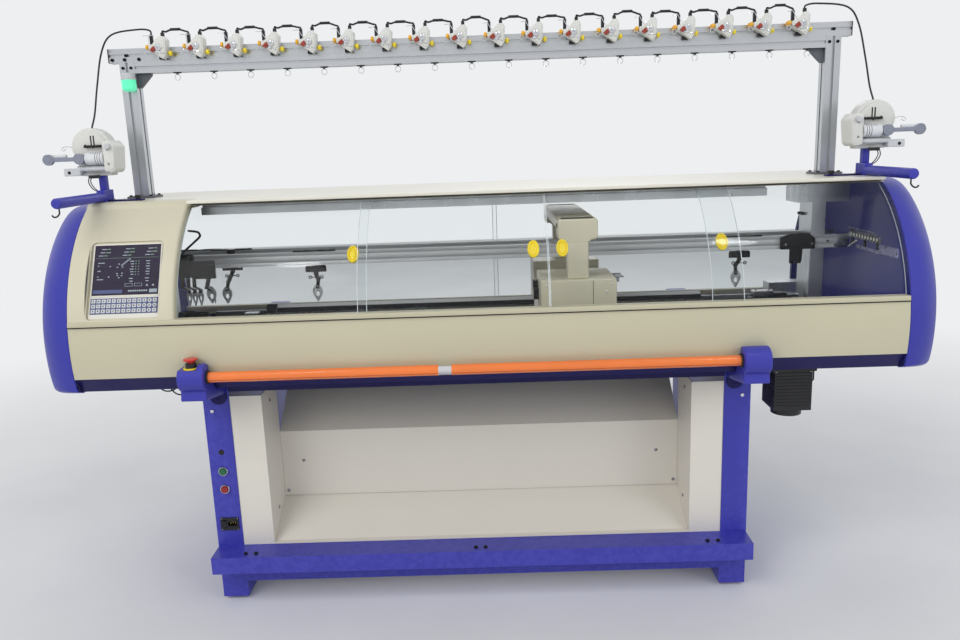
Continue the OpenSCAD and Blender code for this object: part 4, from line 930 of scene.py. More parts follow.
def bed_ends():
    """Dark blocks beside the beds on the cast frame, and the parts between the beds' ends."""
    pc = Piece()
    pc.boxes([(-905, -820, -236, -227.5, 755, 784), (-815, -735, -236, -228, 755, 782),
              (812, 925, -236, -227.5, 755, 784)], 1.5, 2)
    pc.cyl((-989.5, 0, 817), "x", 96, 11.4, 1.2, 40)
    pc.cyl((-960.5, 0, 817), "x", 21, 15.4, 1.2, 40)
    pc.boxes([(-985.4, -734.6, -14.4, 14.4, 789.6, 804.4), (834.6, 965.4, -16.4, 16.4, 797.6, 816.4),
              (907, 950.4, -16.4, 16.4, 815, 829.4)], 1.0, 2)
    pc.make("bed_end_blocks", "blackened")
    pc = Piece()
    pc.box(-776.4, -733.6, -14.4, 14.4, 804, 819.4, 1.0, 2)
    pc.box(845.6, 908.4, -16.4, 16.4, 816, 837.4, 1.2, 2)
    pc.cyl((950, 0, 820), "x", 40.5, 8.4, 1.0, 32)
    pc.screws([(x, 0, 837.4) for x in (856, 898)], "z", 4, 2.6, 1)
    pc.make("bed_end_fittings", "steel")
    pc = Piece().screws([(x, -236, 774) for x in (-893, -832, -805, -745, 824, 913, 850, 890)], "y", 4, 3)
    pc.make("bed_end_screws", "steel")

bed_details(-1, "frame", "front_bed")
bed_details(1, "racking_bed", "rear_bed")
bed_ends()

# Carriage

def carriage_bridge():
    """Deck with long side chamfers, and a brow and a column at its front and back."""
    top = 1110
    deck = mirrored([(52, 1079.5), (57, 1082), (57, top - 6), (51, top)], CARRIAGE_X)
    brow = mirrored([(31, 1042), (38, 1050), (51, 1051), (57, 1060), (57, top - 8), (50, top)], CARRIAGE_X)
    column = mirrored([(30, 941), (30, 1070)], CARRIAGE_X)
    pc = Piece().prism("y", deck, -281, 281, 2.2, 3)
    for s in (-1, 1):
        y0, y1 = sorted((s * 235.0, s * 285.0))
        pc.prism("y", brow, y0, y1, 6.0, 4)
        pc.prism("y", column, y0 + 0.4, y1 - 0.4, 5.0, 3)
    pc.make("carriage_bridge_shell", "beige_cast", "carriage_bridge", body="carriage")

def cam_boxes():
    """Shells over the beds, drawn in the distance from the middle and the height."""

    def over_bed(d):
        return BED_Z - (d - 3) * math.tan(BED_SLOPE) + 2.2

    low = 3 + 180 * math.cos(BED_SLOPE) - 22
    outline = [(24, over_bed(24)), (24, 862), (90, 917), (92, 921), (92, 941), (BOX_FACE, 941),
               (BOX_FACE, 796), (245, 785.7), (185, 785.7), (low + 12, 777.8), (low, over_bed(low))]
    shells, studs, seams = pieces(3)
    for s in (-1, 1):
        shells.prism("x", [(s * y, z) for y, z in outline], CARRIAGE_X - 107, CARRIAGE_X + 107, 5.5, 4)
        stud = [(0, 0), (3.6, 0), (3.6, s * 1.0), (2.6, s * 1.6), (0, s * 1.6)]
        for x, z in ((92, 926), (92, 812), (78, 905), (78, 850)):
            studs.lathes([(CARRIAGE_X + k * x, s * BOX_FACE, z) for k in (-1, 1)], "y", stud, 14)
        y = sorted((s * BOX_FACE, s * (BOX_FACE + 0.7)))
        seams.box(CARRIAGE_X - 96, CARRIAGE_X + 96, *y, 835.0, 836.2, 0)
        seams.box(CARRIAGE_X + 40, CARRIAGE_X + 41, *y, 800, 936, 0)
    shells.make("cam_box_shells", "beige_cast", "cam_boxes", body="carriage")
    studs.make("cam_box_studs", "white", body="carriage")
    seams.make("cam_box_seams", "dark", body="carriage")

def carriage_fittings():
    """Clamp on the belt, brackets on the right and brushes on the left of the front box."""
    clamp = Piece().boxes([(244, 284, -298, -292.3, 710, 803), (244, 284, -287.7, -274, 710, 789),
                           (244, 284, -298, -274, 740.3, 784)])
    clamp.make("belt_clamp", "blackened", "cam_boxes", body="carriage")
    pc = Piece().box(366, 383, -262, -232, 925, 939, 1.0, 1)
    pc.boxes([(371, 373.5, -270, -200, 880, 941), (371, 396, -266, -240, 938, 941),
              (371, 396, -216, -200, 938, 941)], 0.8)
    pc.make("carriage_brackets", "steel", body="carriage")
    holders, brushes = pieces(2)
    for y, z in ((-180, 868), (-140, 886)):
        holders.box(142, 157, y - 14, y + 14, z, z + 32, 1.5, 1)
        brushes.box(144, 155, y - 12, y + 12, z - 22, z + 0.5, 0)
    holders.make("carriage_brush_holders", "black", body="carriage")
    brushes.make("carriage_brushes", "white", body="carriage")

carriage_bridge()
cam_boxes()
carriage_fittings()

# Drive and take-down rollers

paint("drive_belt", "rubber")
paint("drive_pulley", "steel", 0.8)
paint("drive_motor", "black", 2.0)

def motor_details():
    x, y = 852, -320
    ribs, screws = pieces(2)
    for i in range(11):
        z = 572 + i * 9.5
        for s in (-1, 1):
            ribs.box(*sorted((x + s * 51.5, x + s * 53.5)), y - 48, y + 48, z, z + 4, 0.6, 1)
        for y0 in (-373.5, -268.5):
            ribs.box(x - 48, x + 48, y0, y0 + 2, z, z + 4, 0.6, 1)
    ribs.make("motor_ribs", "black")
    corners = [(x + a, y + b, 676) for a in (-48, 48) for b in (-48, 48)]
    screws.lathes(corners, "z", [(0, -4), (5, -4), (5.5, -3), (5.5, 0), (0, 0)], 18)
    screws.make("motor_screws", "steel")

motor_details()

def takedown_roller(s, name):
    """The roller stays, with a row of rubber sleeves over it."""
    first_x, pitch, y, z = BASE_X - 692, 58.4, s * 26, 660
    paint(name + "_takedown_roller", "roller_steel", 0.8)
    sleeves = Piece()
    skin = [(24.6, 0), (25.12, 0.6), (25.12, 39.4), (24.6, 40)]
    sleeves.lathes([(first_x + i * pitch, y, z) for i in range(24)], "x", skin, 48)
    sleeves.make(name + "_roller_sleeves", "rubber", body="takedown_" + name)

takedown_roller(-1, "front")
takedown_roller(1, "rear")

# Base

paint("left_pedestal", "blue", 2.2, 3)
paint("right_pedestal", "blue", 2.2, 3)
paint("front_ledge_beam", "blue", 1.6, 3)
paint("cross_beams", "navy", 1.2)
paint("levelling_feet", "rubber", 1.0)
paint("bay_side_panels", "cream", 1.2)
paint("bay_back_panel", "cream", 1.0)
paint("fabric_chute", "cream", 1.2)

def ledge_bolts():
    pc = Piece()
    ledge_y, ledge_top = -388, 177
    for x in (14, 657, 687):
        pc.screws([(BASE_X + s * x, ledge_y, ledge_top) for s in (-1, 1)], "z", 6, 4.5, 1)
    pc.make("ledge_bolts", "blackened")

def pedestal_screws():
    pc = Piece()
    for s in (-1, 1):
        pc.screws([(BASE_X + s * x, LEG_FRONT, 98) for x in (735, 762)], "y", 5, 3.5)
        side = [(BASE_X + s * LEG_SIDE, y, z) for z in (650, 130, 400) for y in (-300, 300)]
        pc.screws(side, "x", 5, 3, s)
    pc.make("pedestal_screws", "blackened")

def doors():
    """Latches, hinges and louvres of the service doors."""
    steel, louvres = pieces(2)
    for s in (-1, 1):
        x = BASE_X + s * (LEG_SIDE + 1.6)
        latch = [(0, 0), (12, 0), (12, s * 2.0), (10, s * 3.0), (4, s * 3.0), (4, s * 1.6), (0, s * 1.6)]
        steel.lathes([(x, -236, z) for z in (240, 540)], "x", latch, 28)
        for z in (180, 400, 600):
            steel.cyl((x, 262, z - 22), "z", 44, 4.5, 0.8, 20)
        for z in range(300, 413, 14):
            slat = [(x, z), (x, z + 8), (x + s * 3.4, z + 1.5), (x + s * 3.4, z)]
            louvres.prism("y", slat, -70, 70, 0.4, 1)
    steel.make("door_fittings", "steel")
    louvres.make("door_louvres", "blue")

def bay_screws():
    """Round-headed screws of the back panel and of the side panels' inner faces."""
    pc = Piece()
    dome = [(5.4, 0), (5.2, 1.4), (3.2, 2.6), (0, 2.8)]
    back_y, side_x = -161.4, 616.8
    back = [(BASE_X + s * x, back_y, z) for x, z in ((550, 374), (605, 275)) for s in (-1, 1)]
    pc.lathes(back, "y", [(r, -h) for r, h in dome][::-1], 18)
    for s in (-1, 1):
        side = [(BASE_X + s * side_x, -245, z) for z in (600, 258)]
        pc.lathes(side, "x", [(r, -s * h) for r, h in dome][::-s], 18)
    pc.make("bay_screws", "steel")

ledge_bolts()
pedestal_screws()
doors()
bay_screws()

# Controls on the left pedestal

def push_buttons():
    bezel = [(10.95, 0), (14, 0), (14, -4.6), (13.0, -6.0), (11.6, -6.0), (10.95, -5.0), (10.95, 0)]
    bezels = Piece().lathes([(PANEL_X, LEG_FRONT, z) for z in (414, 358)], "y", bezel, 40)
    bezels.make("button_bezels", "chrome", "control_fittings")
    cap = [(0, -9.8), (3, -9.9), (6.6, -10.4), (8.0, -11.0), (9.6, -10.8), (10.4, -9.6), (10.4, 10.6),
           (12.9, 10.6), (13.4, 11), (13.4, 14), (0, 14)]
    for name, z, mat in (("start", 414, "green"), ("stop", 358, "dark_red")):
        button = Piece().lathe((PANEL_X, LEG_FRONT, z), "y", cap, 40)
        button.make(name + "_button_cap", mat, name + "_button", body=name, angle=40)

def power_inlet():
    """Blank plug, inlet plate with openings for switch and plug, socket walls, pins and rocker."""
    face = -333
    x0, x1 = PANEL_X - 24, PANEL_X + 30
    plug0, plug1 = PANEL_X - 2, PANEL_X + 24
    black, pins, screws = pieces(3)
    blank = [(0, -1.8), (4.8, -2.2), (5.4, -3), (7, -2.8), (8, -1.6), (8, 0), (0, 0)]
    black.lathe((PANEL_X, LEG_FRONT, 472), "y", blank, 32)
    for xa, xb, za, zb in ((x0, x1, 260, 267), (x0, x1, 227, 234), (x0, PANEL_X - 19.5, 234, 260),
                           (PANEL_X - 6.5, plug0, 234, 260), (plug1, x1, 234, 260)):
        black.box(xa, xb, face, -330.1, za, zb, 0.3, 1)
    for za in (256, 234):
        black.box(plug0, plug1, face, -330.1, za, za + 4, 0)
    for xa, xb, za, zb in ((plug0 - 3, plug0, 237.5, 256.5), (plug1, plug1 + 3, 237.5, 256.5),
                           (plug0, plug1, 254, 256.5), (plug0, plug1, 237.5, 240)):
        black.box(xa, xb, -332, -308, za, zb, 0.2, 1)
    black.box(plug0 - 3, plug1 + 3, -312, -308, 237.5, 256.5, 0)
    black.make("power_inlet", "black", "control_fittings")
    for dx, z in ((4, 247), (11, 249.5), (18, 247)):
        pins.box(PANEL_X + dx - 1, PANEL_X + dx + 1, -326, -311.5, z - 3, z + 3, 0.3, 1)
    pins.make("inlet_pins", "brass", "control_fittings")
    places = [(x, face, z) for x in (x0 + 3.6, x1 - 3.0) for z in (264, 230)]
    screws.lathes(places, "y", [(0, -0.9), (1.6, -0.8), (2.2, 0)], 14)
    screws.make("inlet_screws", "steel")
    side = [(-335, 258), (-334.1, 253), (-333.2, 247), (-333.5, 241), (-333.9, 236.2), (-333.5, 236),
            (-331, 238), (-330.3, 247), (-331, 256)]
    rocker = Piece().prism("x", side, PANEL_X - 18.9, PANEL_X - 7.1, 0.4, 2)
    rocker.make("rocker", "black", "power_switch", body="switch")

push_buttons()
power_inlet()

# Brackets, emergency stop and operating bars

def bracket_profile(side):
    """Round nose about the bar, flat toe under the tray, and the edge that meets the round of the head."""
    r = HEAD_R + 0.7

    def head_y(z):
        return math.sqrt(max(0, r * r - (z - HEAD_Z) ** 2))

    nose = []
    for y, z in bow((BAR_Y, BAR_Z), 37.6, 100, -120, 24):
        in_head = y < head_y(z) + 0.5 and z < 772
        if not in_head and (z > 706 or y > 480):
            nose.append((y, z))
    toe = [(491, 678), (330.4, 650.6), (330.4, 688.9), (405, 688.9), (444.8, 734.6)]
    head = [(head_y(z), z) for z in (736, 745, 755, 765, 770)]
    return [(side * y, z) for y, z in nose + toe + head]

def brackets():
    """The front ones are cut flat under the stop's seat, the rear ones on top."""
    flat = {"front": (BASE_X - 850, BASE_X - 733.5, -560, -395, 763.9, 820),
            "rear": (BASE_X - 900, BASE_X + 900, 395, 560, 760.5, 820)}
    inner_side = 715
    for side, name in ((-1, "front"), (1, "rear")):
        shells, collars = pieces(2)
        for s in (-1, 1):
            x = sorted((BASE_X + s * inner_side, BASE_X + s * LEG_SIDE))
            shells.prism("x", bracket_profile(side), *x, 7.0, 4, None, 40)
            collar = [(15.2, 0), (19, 0), (19, -s * 4), (17.5, -s * 5.5), (15.2, -s * 5.5), (15.2, 0)]
            collars.lathe((BASE_X + s * (inner_side - 0.1), side * BAR_Y, BAR_Z), "x", collar, 36)
        shell = shells.make("bar_brackets_" + name, "blue", "bar_brackets", angle=45)
        cut_out(shell, Piece().box(*flat[name], 0), "blue", 45)
        collars.make("bar_collars_" + name, "black")

def bracket_fittings():
    discs, dark, bright = pieces(3)
    disc = [(0, -4), (7, -4), (8, -6), (22, -6), (24, -4), (24, 0), (0, 0)]
    discs.lathes([(BASE_X + s * 738, -330.2, 642) for s in (-1, 1)], "y", disc, 40)
    discs.make("bracket_discs", "navy")
    places = [(BASE_X + s * 750 + d, side * 420, 671) for s in (-1, 1) for side in (-1, 1) for d in (-18, 18)]
    dark.lathes(places, "z", [(0, -1), (6, -1), (6.5, 0), (6.5, 3), (0, 3)], 18)
    dark.make("bracket_screws", "blackened")
    bright.screws([(BASE_X + s * 761, LEG_FRONT, 598) for s in (-1, 1)], "y", 5.5, 3.5)
    bright.make("pedestal_bright_screws", "chrome")

def emergency_stop():
    x, y, z = STOP
    rim = [(12, 0), (20.6, 0), (21, 0.8), (21, 3.2), (19.8, 4.2), (15.4, 4.2)]
    ring = Piece().lathe((x, y, z - 0.3), "z", rim, 48)
    ring.make("emergency_ring", "yellow", "emergency_stop_base")
    neck = [(15.6, 0.2), (15.6, 4.0), (15, 4.4), (14.2, 15.4), (13.4, 16), (8.3, 16), (8.3, 4), (15.6, 0.2)]
    Piece().lathe(STOP, "z", neck, 48).make("emergency_collar", "black", "emergency_stop_base")
    head = [(0, 8.2), (7.8, 8.2), (7.8, 20.6), (13, 20.9), (17, 22.8), (18.8, 24.6), (19.2, 26.4),
            (18.4, 27.8), (16, 28.6), (12, 28.9), (0, 29.0)]
    mushroom = Piece().lathe(STOP, "z", head, 56)
    mushroom.make("emergency_mushroom", "red", "emergency_stop_button", body="estop", angle=40)
    Piece().ring((x, y, z + 28.2), "z", 12.5, 0.7, 40, 8).make("emergency_mark", "white", body="estop")

SLEEVE_R = 14.45

def sleeve(piece, x0, x1, y):
    """Thin film tube with small dents along it."""
    n, long, dent = 40, x1 - x0, 0.18
    start = [(13.7, 0), (14.35, 0), (14.5, 0.8)]
    prof = list(start)
    for k in range(1, n):
        prof.append((SLEEVE_R - dent * abs(math.sin(k * 2.399)), 0.8 + (long - 1.6) * k / n))
    prof += [(r, long - h) for r, h in start[::-1]]
    piece.lathe((x0, y, BAR_Z), "x", prof, 40)

def operating_bar(s, name):
    """Tube with sleeves between the brackets. The front bar shows its bare middle."""
    y, body, node = s * BAR_Y, "bar_" + name, name + "_operating_bar"
    tube, sleeves, seams = pieces(3)
    tube.cyl((BASE_X - 724, y, BAR_Z), "x", 1448, 13.6, 1.0, 48)
    tube.make(name + "_bar_tube", "chrome", node, body=body, slot="aluminium_section")
    ends = (BASE_X - 713, BASE_X + 713)
    a = math.radians(205)
    y_seam, z_seam = y + SLEEVE_R * math.cos(a), BAR_Z + SLEEVE_R * math.sin(a)
    for x0, x1 in (((ends[0], -131), (-96, ends[1])) if s < 0 else (ends,)):
        sleeve(sleeves, x0, x1, y)
        seams.tube([(x0 + 1, y_seam, z_seam), (x1 - 1, y_seam, z_seam)], 0.5, 6)
    sleeves.make(name + "_bar_sleeves", "orange", node, body=body, angle=30)
    seams.make(name + "_sleeve_seam", "rust", body=body, slot="orange_sleeve")

brackets()
bracket_fittings()
emergency_stop()
operating_bar(-1, "front")
operating_bar(1, "rear")

# Yarn stand

paint("stand_posts", "alu_up", 0.6)
paint("top_rails", "alu", 0.5)

def stand_fittings():
    """Feet of the posts on the top board, brackets in the upper corners and end plates of the rail."""
    post, foot_top = 1050, 1203
    feet, screws, ends = pieces(3)
    for s in (-1, 1):
        feet.box(s * post - 40, s * post + 40, -50, 30, HEAD_TOP, foot_top, 1.2, 2)
        corner = [(1027.3, 1565.6), (1027.3, 1524), (1021, 1524), (986, 1560), (986, 1565.6)]
        feet.prism("y", [(s * x, z) for x, z in corner], -18, -2, 1.0, 1)
        screws.screws([(s * post + x, y, foot_top) for x in (-31, 31) for y in (-42, 22)], "z", 4.5, 4, 1)
        for x, y, z in ((1038, -32.5, 1582), (1062, -32.5, 1582), (post, RAIL_FRONT, 1618)):
            screws.screw((s * x, y, z), "y", 4.5, 3.6)
        ends.box(*sorted((s * 1105.0, s * 1101.5)), -30.5, 10.5, 1597.5, 1638.2, 0.8, 1)
    feet.make("stand_brackets", "cast")
    screws.screws([(x, RAIL_FRONT, 1606) for x in (-1092, -1055, -1012)], "y", 5, 4)
    screws.make("stand_screws", "blackened")
    ends.make("rail_end_caps", "black")

stand_fittings()

# Tensioners on the upper rail, drawn about the rail's line above each place

TENSIONER_FRONT, TENSIONER_BACK = -66.0, -30.2

def tensioner_shell(shells, blocks, m):
    """Housing, front cover plate with a soft edge, and the red-brown friction block on its lower left."""
    outline = [(-26, 19), (-26, 31), (-14, 33.5), (7, 55), (20, 55.6), (26.5, 46), (23.6, 3), (14, -9.4),
               (-8, 6)]
    plate = [(-20, 21), (-20, 28), (-11, 30), (9, 50), (18, 50.5), (22, 44), (19.5, 6), (13, -3.4), (-4, 9)]
    y = TENSIONER_FRONT
    shells.prism("y", outline, y, TENSIONER_BACK, 2.6, 3, m)
    shells.prism("y", plate, y - 1.6, y + 1, 1.0, 2, m)
    blocks.prism("y", [(-21, 17), (-9, 28), (-1, 20), (-12, 9.5)], y - 6.5, y - 1.4, 1.4, 2, m)

def tensioner_knobs(left, right, m):
    """Two ribbed knobs at the left end, one with ten ridges below at the right."""
    prof = [(0, -10), (4.6, -10), (6.6, -9), (7, -7.5), (6.6, -6), (7, -4.5), (6.6, -3), (5, -2), (3, -1.4),
            (3, 0.4)]
    left.lathes([(-26, y, 26) for y in (-40.8, -57.0)], "x", prof, 22, m)
    prof = [(2.6, -0.6), (2.6, 2), (5.4, 3), (7.4, 4), (7.5, 9), (6.8, 11.4), (5, 12.3), (0, 12.4)]
    place = (24.6, -48, 8)
    right.lathe(place, "x", prof, 24, m)
    upright = m @ shift(*place) @ Matrix.Rotation(math.radians(90), 4, "Y")
    for k in range(10):
        turned = upright @ Matrix.Rotation(2 * math.pi * k / 10, 4, "Z")
        right.box(-0.7, 0.7, 6.9, 7.5, 4.6, 9.4, 0.2, 1, turned)

def tensioner_wires(wires, m, first):
    """Tension discs with their spring, wire arm with its eye, and the swing arm of the knot catcher."""
    y = TENSIONER_FRONT
    discs = [(0, -9), (2.2, -9), (2.2, -6.4), (8.4, -4.8), (9.2, -4.2), (8.4, -3.6), (3, -3), (8.4, -2.4),
             (9.2, -1.8), (8.4, -1.2), (3, -0.6), (3, 0.6)]
    wires.lathe((4, y - 1.4, 24), "y", discs, 26, m)
    coil = []
    for k in range(49):
        a = 2 * math.pi * k / 12
        coil.append((4 + 3.2 * math.cos(a), y - 6.6 - 0.1 * k, 24 + 3.2 * math.sin(a)))
    wires.tube(coil, 0.45, 5, 0, m)
    wires.lathe((0, y - 1.2, 12), "y", [(0, -3.4), (4, -3.4), (4.8, -2.8), (4.8, 0)], 20, m)
    y -= 2.8
    eye = [(a, y - 0.1 * k, b) for k, (a, b) in enumerate(bow((-37, 12), 6, 10, 350, 20))]
    wires.tube([(3, y, 12), (-14, y, 12), (-30, y, 13)] + eye, 1.0, 8, 0, m)
    wires.tube([(3, y, 12), (16, y - 0.8, 7), (27, y - 1.2, 11)], 1.0, 8, 4, m)
    if first:
        wires.tube([(-24, -61, 32), (-24, -61, 58)], 1.0, 8, 0, m)
        wires.tube([(-40, -61, 58), (-8, -61, 58)], 1.0, 8, 0, m)
    else:
        wires.tube([(-9, -61, 35), (-18, -61.5, 47), (-24, -61.5, 58), (-40, -61.5, 57.5)], 1.0, 8, 0, m)

def tensioner_plugs(plugs, m):
    """Sensor plugs on top, and the clamp foot on the rail."""
    plugs.box(9.2, 18.8, -52.5, -43.5, 55.0, 66.6, 1.2, 2, m)
    plugs.box(-24.6, -15.4, -52.5, -43.5, 31.5, 62, 1.4, 2, m)
    plugs.box(-6, 18, -42, TENSIONER_BACK, -8, 2, 1.0, 1, m)

def tensioners():
    shells, blocks, left, right, plugs, wires = pieces(6)
    for i, x in enumerate(TENSIONER_X):
        m = shift(x, 0, RAIL_Z)
        tensioner_shell(shells, blocks, m)
        tensioner_knobs(left, right, m)
        tensioner_plugs(plugs, m)
        tensioner_wires(wires, m, i < 2)
    shells.make("tensioner_shells", "white", "tensioner_housings", angle=30)
    blocks.make("tensioner_blocks", "rust", "tensioner_housings", angle=30)
    left.make("tensioner_knobs_left", "amber", "tensioner_knobs", angle=40)
    right.make("tensioner_knobs_right", "yellow", "tensioner_knobs", angle=40)
    plugs.make("tensioner_plugs", "black", "machine_cables")
    wires.make("tensioner_wires", "chrome", "yarn_guides")

def rail_eyes():
    """Eyes on round feet under the lower rail."""
    eyes, feet = pieces(2)
    foot = [(0, 0), (11, 0), (12, -0.8), (12, -2.0), (10.6, -3.0), (4, -3.0), (3.2, -5.6), (0, -6)]
    y, drop, post_side, beside_post = -20.5, 14.6, 1026, 1012
    for x in TENSIONER_X:
        x += 36
        if abs(x) > post_side:
            x = math.copysign(beside_post, x)
        feet.lathe((x, y, RAIL_UNDER), "z", foot, 24)
        eyes.ring((x, y, RAIL_UNDER - drop), "y", 8.2, 1.1, 28, 8)
    feet.make("rail_eye_feet", "black", "yarn_guides")
    eyes.make("rail_eyes", "chrome", "yarn_guides")

tensioners()
rail_eyes()

# Cables that run from part to part

def tensioner_leads(cables):
    """Arched leads from plug to plug, with a barrel where the two halves of a lead meet."""
    y, z = -48.0, RAIL_Z + 64
    for i in range(17):
        a, b = TENSIONER_X[i] + 14, TENSIONER_X[i + 1] - 20
        lift = (15 if i % 4 else 18) * (0.62 + 0.1 * math.sin(i * 1.7))
        pts = [(a, y, z), (a + 1, y, z + 7)]
        for k in range(1, 8):
            t = k / 8
            pts.append((a + (b - a) * t, y + 2.5 * math.sin(3 * t + i), z + lift * 4 * t * (1 - t)))
        cables.tube(pts + [(b - 0.5, y, z + 2), (b, y, z - 3)], 2.8, 8, 3)
        cables.cyl(((a + b) / 2 - 15, y + 2.5 * math.sin(1.5 + i), z + lift), "x", 30, 4.0, 0.8, 16)

def long_leads(cables):
    """From the rail's ends to the feeders, two hanging loops under the head, and the motor's lead."""
    y, z = -48.0, RAIL_Z
    for s in (-1, 1):
        start = TENSIONER_X[-1] + 14 if s > 0 else TENSIONER_X[0] - 20
        pts = [(start, y, z + 60), (start + s * 3, y, z + 74), (start + s * 40, y, z + 78),
               (s * 1078, y, z + 66), (s * 1112, y - 4, z + 18), (s * 1126, y - 30, z - 80),
               (s * 1124, -120, z - 160), (s * 1119, -158, 1412), (s * 1119, -160, 1405)]
        cables.tube(pts, 2.6, 8, 6)
    top, low = 694, 684
    for i in range(2):
        x, y = -930 + 40 * i, -300 - 12 * i
        pts = [(x - 34, y, top), (x - 34, y, low)]
        for k in range(1, 10):
            a = math.radians(180 + 18 * k)
            pts.append((x + 34 * math.cos(a), y + 3 * math.sin(k), low + (30 + 8 * i) * math.sin(a)))
        cables.tube(pts + [(x + 34, y, low), (x + 34, y, top)], 2.1, 8, 4)
    pts = [(905, 626), (915, 626), (926, 633), (927, 645), (927, top)]
    cables.tube([(x, -320, z) for x, z in pts], 2.1, 8, 6)

def cables():
    runs, glands = pieces(2)
    tensioner_leads(runs)
    long_leads(runs)
    runs.make("machine_cable_runs", "sheath", "machine_cables", slot="cable_sheath")
    places = [(-964, -300), (-896, -300), (-924, -312), (-856, -312), (927, -320)]
    gland = [(2.2, -8), (4.4, -8), (5, -7), (5, -3), (6.6, -3), (6.6, 0)]
    glands.lathes([(x, y, 690.2) for x, y in places], "z", gland, 16)
    glands.lathe((904, -320, 626), "x", [(6.6, 0), (6.6, 3), (5, 3), (5, 6), (2.2, 6)], 16)
    glands.make("cable_glands", "black")

cables()

def signal_lamp():
    x, y, z = LAMP
    base = [(0, 20.0), (17, 20.0), (19.4, 18.6), (20, 16), (20, 6), (20.6, 5.4), (20.6, 1), (20, 0), (0, 0)]
    holder = Piece().lathe(LAMP, "z", base, 40).box(x - 12, x, y, y + 24, z + 6, z + 16, 0.8, 1)
    holder.make("lamp_holder", "grey", "signal_lamp_base")
    dome = [(0, 0), (20.4, 0), (20.8, -1)]
    for k in range(1, 9):
        low = -1 - k * 2.6
        dome += [(20.8, low + 1.2), (20.2, low + 0.4), (20.8, low - 0.2)]
    dome += [(20.8, -24), (19.6, -27.4), (17.2, -30.4), (13.6, -32.4), (8, -33), (0, -33)]
    Piece().lathe((x, y, z - 0.2), "z", dome, 48).make("lamp_dome", "lens", "signal_lamp_dome", angle=50)

signal_lamp()

# Side feeders

def feeder_stand(name, flip):
    """Round guide bar with its socket, post, plate beside it, knob and hook, in the machine's frame."""
    foot, post, hook = pieces(3)
    bar = [(0, 0), (9, 0), (12.4, 1.6), (14, 5.4), (14, 262), (0, 262)]
    foot.lathe((1105, -452, 1211.3), "y", bar, 40, flip)
    foot.box(1093, 1117, -191, -130.4, 1197.1, 1231, 2.4, 3, flip)
    foot.make(name + "_foot", "blue", "feeder_stands")
    post.box(1095.2, 1114.8, -169.8, -150.2, 1230, 1272.4, 1.4, 2, flip)
    post.box(1098, 1112, -167, -153, 1268, 1274, 0.5, 1, flip)
    post.make(name + "_post", "blue", "feeder_stands")
    plate = Piece().box(995, 1095, -174, -146.2, 1197.1, 1201.8, 1.0, 2, flip)
    plate.make(name + "_plate", "navy", "feeder_stands")
    knob = [(0, 0), (6, 0), (6, 2.6), (9, 3.4), (9, 11), (8, 12), (0, 12)]
    hook.lathe((1010, -160, 1201), "z", knob, 28, flip)
    bend = [(1105, 1198), (1105, 1190), (1106, 1184), (1113, 1177), (1121, 1176), (1126, 1181)]
    hook.tube([(x, -436, z) for x, z in bend], 2.2, 8, 4, flip)
    hook.make(name + "_hook", "black", "yarn_guides", "feeder_stands")

def feeder_shell(name, m):
    """Round housing, raised front plate and the drive box on the inner side."""
    shell = Piece()
    dome = bow((0, 0), 57.6, 180, 0, 32) + [(34, -77.6), (-50, -77.6)]
    plate = bow((0, 0), 48, 172, 8, 24) + [(40, -30), (-44, -30)]
    drive = [(-78, -60), (-84, 4), (-72, 20), (-46.2, 20), (-46.2, -66), (-70, -70)]
    lid_plate = [(-77, -52), (-80.5, 0), (-70, 13), (-52, 13), (-52, -60), (-68, -62)]
    shell.prism("y", dome, -21.8, 21.8, 5.0, 4, m, 40)
    shell.prism("y", plate, -26.5, -21, 2.4, 3, m, 40)
    shell.prism("y", drive, -57.8, 13.8, 6.0, 4, m, 30)
    shell.prism("y", lid_plate, -60, -57, 1.4, 2, m, 30)
    shell.make(name + "_shell", "white", "feeder_housings", angle=35)

def ribbed(start, end, r, groove, count, first, pitch, steps):
    """Profile of a rod with grooves. steps are the groove's four places from its start."""
    prof = list(start)
    for k in range(count):
        at = first + k * pitch
        prof += [(rr, at + d) for rr, d in zip((r, groove, groove, r), steps)]
    return prof + list(end)

def feeder_dark_parts(name, m):
    """Slots of the front plate as strips of painted shade, its dots, rib-cut rod, connector, ring of the
    stub, knob, grey bracket and its hole as a disc of painted shade.
    """
    dark = Piece()
    # Thin dark strips on the plate's face: painted shade standing in for its slots
    for u in (-12, -4):
        dark.box(u - 2.0, u + 2.0, -26.8, -26.2, 10, 36, 0, 1, m)
    dark.lathes([(-8, -26.4, 4), (14, -26.4, 8)], "y", [(0, -1.4), (3.6, -1.2), (4.2, 0)], 20, m)
    rod = ribbed([(0, 0), (4, 0)], [(4, 60), (0, 60)], 4, 3.1, 14, 1, 4.2, (0, 0.6, 2.0, 2.6))
    dark.lathe((-46, -34, 6), "x", rod, 24, m)
    dark.box(-20, 8, -46, -28, -84, -75, 2, 2, m)
    dark.lathe((118.5, -50, -28), "x", [(0, 0), (5.4, 0), (5.4, 7), (0, 7)], 20, m)
    dark.make(name + "_dark_parts", "black", "feeder_housings")
    bracket = Piece()
    knob = [(0, -12), (6, -12), (7.4, -10.6), (7.4, -2), (8.6, -1), (8.6, 0.6)]
    bracket.lathe((-66, -60, 4), "y", knob, 28, m).box(30.4, 77.6, -43.8, -20.4, -75.6, -54.4, 3.0, 3, m)
    bracket.make(name + "_bracket", "grey", "feeder_housings")
    # Dark disc on the bracket's face: painted shade standing in for a hole
    hole = Piece().lathe((62, -44.1, -66), "y", [(0, 0), (4.6, 0), (4.6, 0.6)], 24, m)
    hole.make(name + "_bracket_hole_shade", "dark")

